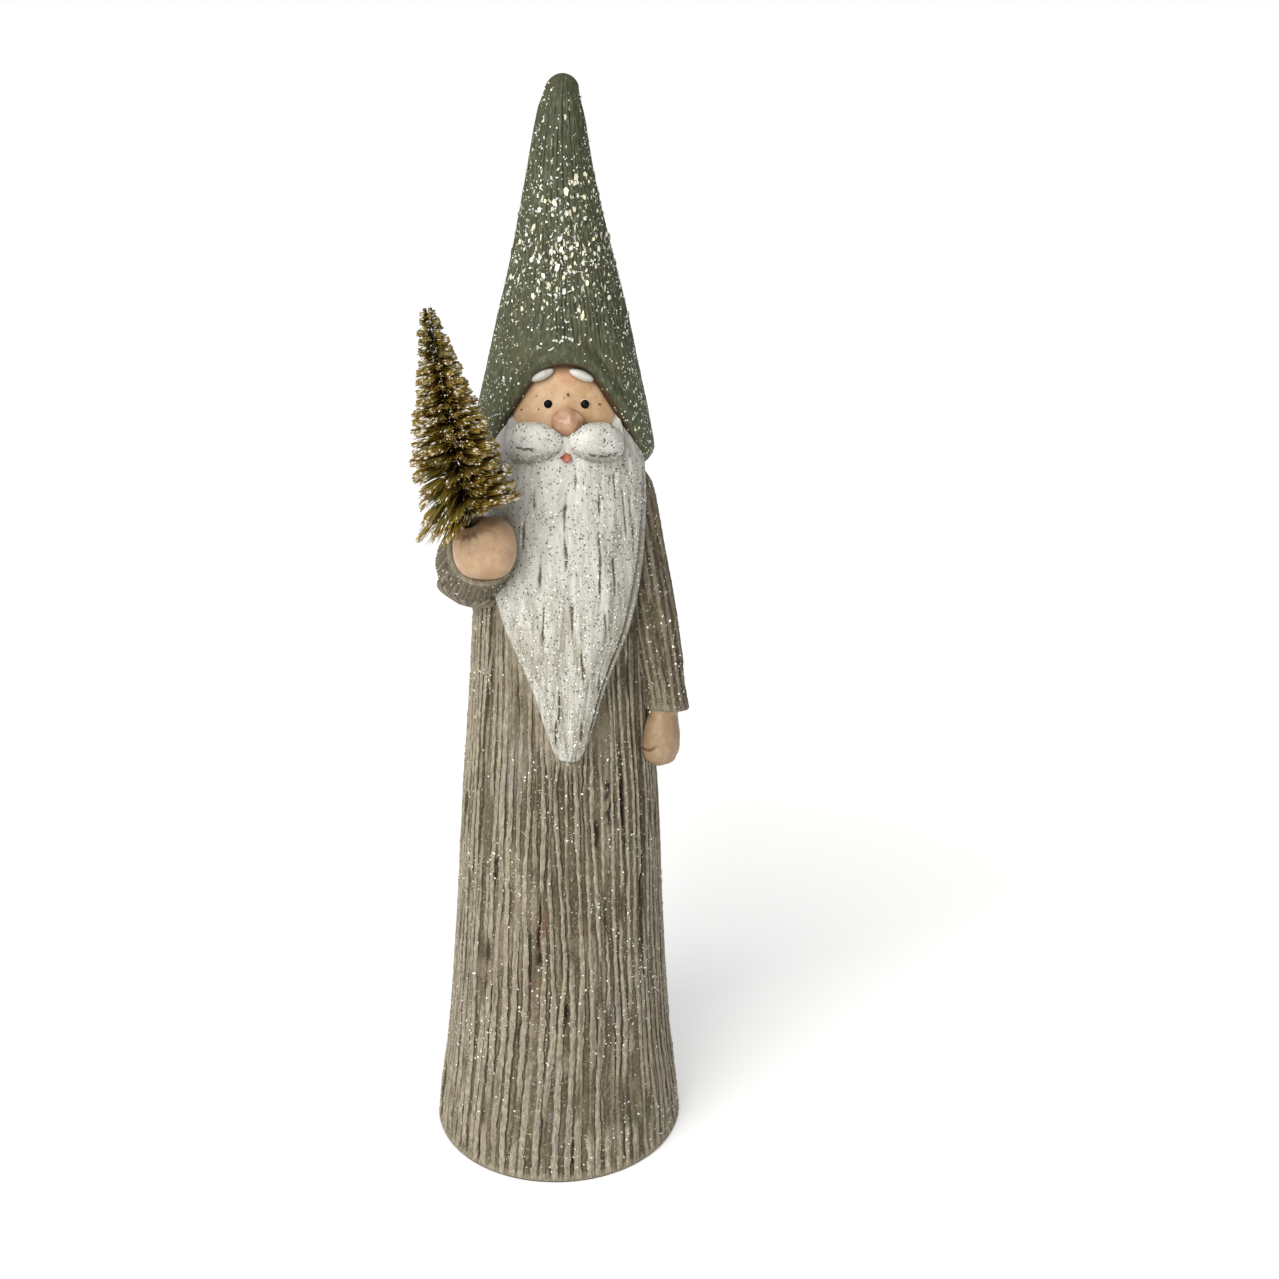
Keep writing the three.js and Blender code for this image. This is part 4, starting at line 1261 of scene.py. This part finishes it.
# ---- paints in use ----
robe_coat = robe_paint()
hat_coat = hat_paint()
beard_coat = white_paint("beard_white", 0.15, (0.575, 0.566, 0.512), (0.785, 0.777, 0.728))
whisker_coat = white_paint("whisker_white", 0.6, (0.58, 0.572, 0.520), (0.775, 0.768, 0.720))
face_skin = skin_paint("face_skin", (0.58, 0.360, 0.188), (0.66, 0.455, 0.270), (0.45, 0.20, 0.10))
nose_skin = skin_paint("nose_skin", (0.40, 0.195, 0.105), (0.60, 0.385, 0.245), (0.26, 0.14, 0.07))
fist_skin = skin_paint("fist_skin", (0.485, 0.309, 0.176), (0.57, 0.39, 0.238), (0.36, 0.20, 0.10))
hand_skin = skin_paint("hand_skin", (0.325, 0.220, 0.122), (0.395, 0.278, 0.165), (0.24, 0.14, 0.075))
mouth_paint = terracotta_paint()
eye_gloss = eye_paint()
fleck_paint = skin_paint("fleck_paint", (0.055, 0.026, 0.010), (0.11, 0.05, 0.02), (0.05, 0.02, 0.01))
ring_paint = skin_paint("eye_ring", (0.80, 0.66, 0.52), (0.84, 0.74, 0.62), (0.6, 0.4, 0.3))
bare_coat = clay()
plug_coat = plug_rubber()
wire_coat = wire_metal()
bristle_coat = bristle_paint()
frost_coat = frost_paint()
silver = glitter("glitter_silver", (0.95, 0.95, 0.90), (0.86, 0.85, 0.76), 0.2, 0.3)
gold = glitter("glitter_gold", (0.94, 0.91, 0.70), (0.88, 0.84, 0.56), 0.1, 0.3)
crumb_coat = glitter("crumb", (0.50, 0.45, 0.335), (0.33, 0.285, 0.20), 0.0, 0.85)
dark = glitter("glitter_dark", (0.10, 0.095, 0.075), (0.25, 0.24, 0.19), 0.6, 0.35)

# ---- building ----
rng = np.random.default_rng(5)
robe_surface = robe()
hat_surface = hat()
head()
beard_surface = beard()
left_lobe = moustache("left", 1, 7.8, 9.0, [(-2.4, 7.2, -2.9, 1.0, 0.42)])
creases = [(-6.2, -0.8, -1.3, 0.25, 0.32), (-3.6, -1.0, -2.1, -0.3, 0.22)]
right_lobe = moustache("right", -1, -9.8, 8.7, creases)
nose()
eyebrow("left", 4.2, 0.36)
eyebrow("right", -7.5, -0.45)
eye("left", 5.2, 1.38)
eye("right", -5.8, 1.33)
freckles()
mouth()
left_surface = left_sleeve()
right_surface = right_sleeve()
mitten()
fist()
strand("a", 0)
strand("b", math.pi)
brush, frost = bristles(13500, 7)
piece("brush", "tree", brush, bristle_coat, ["tree_brush"], flat=True)
piece("brush_frost", "tree", frost, frost_coat)

for node, material in (("base_disc", bare_coat), ("stem_plug", plug_coat)):
    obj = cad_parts[node]
    obj.data.materials.clear()
    obj.data.materials.append(material)


def strew(name, surface, density, count, sizes, material, **kinds):
    """Strews flakes of that many and those sizes over a surface, where the density puts them."""
    points, normals = scattered(surface, density, count, rng)
    size = rng.uniform(*sizes, count)
    piece(name, "figure", flakes(points, normals, size, rng, **kinds), material, flat=True)


z = robe_surface[..., 2]
patchy = np.clip(0.35 + noise(z / 12, robe_surface[..., 0] / 9, 121), 0.05, 2)
inside_box = (z > 4) * (z < 225)
crumbly = (0.3 + patchy) * inside_box
strew("robe_crumbs", robe_surface, crumbly, 2600, (0.3, 0.7), crumb_coat, thick=0.2, tilt=0.4)
strew("robe_glitter", robe_surface, patchy * inside_box, 3400, (0.3, 0.85), silver, tilt=0.5)
strew("robe_glitter_gold", robe_surface, inside_box * 1.0, 700, (0.3, 0.8), gold, tilt=0.5)

z = hat_surface[..., 2]
angle = np.arctan2(hat_surface[..., 0], -hat_surface[..., 1])
above_rim = z - rim_height(angle)
bare = 1 - 0.9 * (1 - step(above_rim, 5, 11)) * hill(angle, -0.1, 0.75)
band = (0.22 + 1.0 * hill(z, 302, 20) * hill(angle, -0.05, 0.6) + 0.55 * hill(np.abs(angle), 1.1, 0.4)) * bare
strew("hat_glitter", hat_surface, band * (z < 347), 2100, (0.25, 0.75), silver)
strew("hat_chips", hat_surface, band**2 * (z < 347), 420, (0.3, 0.6), gold, tall=2.2)
front = 0.2 + hill(hat_surface[..., 0], 0, 8) * (hat_surface[..., 1] < 0)
strew("hat_glitter_big", hat_surface, front * hill(z, 300, 15), 190, (0.6, 1.5), silver, tall=1.6)
strew("hat_glitter_gold", hat_surface, front * hill(z, 304, 17), 170, (0.6, 1.6), gold, tall=1.9)
edge = hill(z - rim_height(angle), 7.5, 0.9) * hill(angle, 0, 0.28)
strew("brim_glitter", hat_surface, edge, 12, (0.7, 1.3), silver)

z = beard_surface[..., 2]
open_beard = (np.abs(np.linspace(-1, 1, z.shape[1])) < 0.93)[None, :] * (z < 242)
strew("beard_glitter", beard_surface, open_beard * 1.0, 2300, (0.3, 0.75), silver, tilt=0.35)
strew("beard_specks", beard_surface, open_beard * 1.0, 1900, (0.25, 0.62), dark)
for name, lobe in (("left", left_lobe), ("right", right_lobe)):
    visible = (lobe[..., 1] < -26) * (lobe[..., 2] > 240)
    strew(f"whisker_glitter_{name}", lobe, visible * 1.0, 170, (0.25, 0.6), silver)
    strew(f"whisker_specks_{name}", lobe, visible * 1.0, 110, (0.28, 0.6), dark)
strew("sleeve_glitter_l", left_surface, 1.0, 520, (0.3, 0.85), silver)
strew("sleeve_glitter_r", right_surface, 1.0, 320, (0.3, 0.7), silver)


# ---- floor, lights and camera ----
def floor():
    """Pale paper, which shines a little, so that it stays white."""
    mesh = bpy.data.meshes.new("floor")
    mesh.from_pydata([(-9, -9, 0), (9, -9, 0), (9, 9, 0), (-9, 9, 0)], [], [(0, 1, 2, 3)])
    p = Paint("floor_paper", 0.9)
    p.shader.inputs["Emission Color"].default_value = (1, 1, 1, 1)
    p.shader.inputs["Emission Strength"].default_value = 0.40
    mesh.materials.append(p.done(p.mix((0.90, 0.90, 0.90), (0.92, 0.92, 0.92), p.noise(900, 1))))
    added("floor", mesh)


def soft_sun(name, azimuth, elevation, strength, spread, color=(1, 1, 1)):
    """Light from far off. The azimuth is that of its source, from the front to the left hand."""
    data = bpy.data.lights.new(name, "SUN")
    data.energy, data.angle, data.color = strength, math.radians(spread), color
    obj = added(name, data)
    a, e = math.radians(azimuth), math.radians(elevation)
    source = Vector((math.sin(a) * math.cos(e), -math.cos(a) * math.cos(e), math.sin(e)))
    obj.rotation_mode = "QUATERNION"
    obj.rotation_quaternion = source.to_track_quat("Z", "Y")


def studio_world(strength_on_figure):
    """A white world: full for the camera, and weaker as light on the figure."""
    world = bpy.data.worlds.new("studio")
    world.use_nodes = True
    nodes, links = world.node_tree.nodes, world.node_tree.links
    rays = nodes.new("ShaderNodeLightPath")
    strength = nodes.new("ShaderNodeMapRange")
    strength.inputs["To Min"].default_value = strength_on_figure
    strength.inputs["To Max"].default_value = 1.0
    links.new(rays.outputs["Is Camera Ray"], strength.inputs["Value"])
    links.new(strength.outputs["Result"], nodes["Background"].inputs["Strength"])
    nodes["Background"].inputs["Color"].default_value = (1, 1, 1, 1)
    bpy.context.scene.world = world
    bpy.context.scene.view_settings.view_transform = "Standard"


def portrait_camera(azimuth, distance, height, heading, pitch, roll, lens):
    """Angles are in degrees. The camera stands at the azimuth, and looks down by the pitch."""
    azimuth, heading, pitch, roll = (math.radians(v) for v in (azimuth, heading, pitch, roll))
    upright = np.array([0, 0, 1])
    ahead = np.array([-math.sin(heading), math.cos(heading), 0])
    right = np.array([math.cos(heading), math.sin(heading), 0])
    up = ahead * math.sin(pitch) + upright * math.cos(pitch)
    ahead = ahead * math.cos(pitch) - upright * math.sin(pitch)
    rolled = right * math.cos(roll) + up * math.sin(roll)
    up = up * math.cos(roll) - right * math.sin(roll)
    camera = added("camera", bpy.data.cameras.new("camera"))
    camera.data.sensor_width, camera.data.lens = 36, lens
    camera.data.clip_start, camera.data.clip_end = 0.01, 20
    turned = np.eye(4)
    turned[:3, :3] = np.stack([rolled, up, -ahead], 1)
    turned[:3, 3] = np.array([math.sin(azimuth) * distance, -math.cos(azimuth) * distance, height]) * MM
    camera.matrix_world = Matrix(turned.tolist())
    bpy.context.scene.camera = camera


floor()
soft_sun("key", -39, 28, 2.5, 46, (1.0, 0.985, 0.95))
soft_sun("top", -15, 74, 0.6, 60)
studio_world(0.20)
portrait_camera(azimuth=-4.5, distance=427.5, height=300.9, heading=-7.96, pitch=16.14, roll=1.14, lens=38)
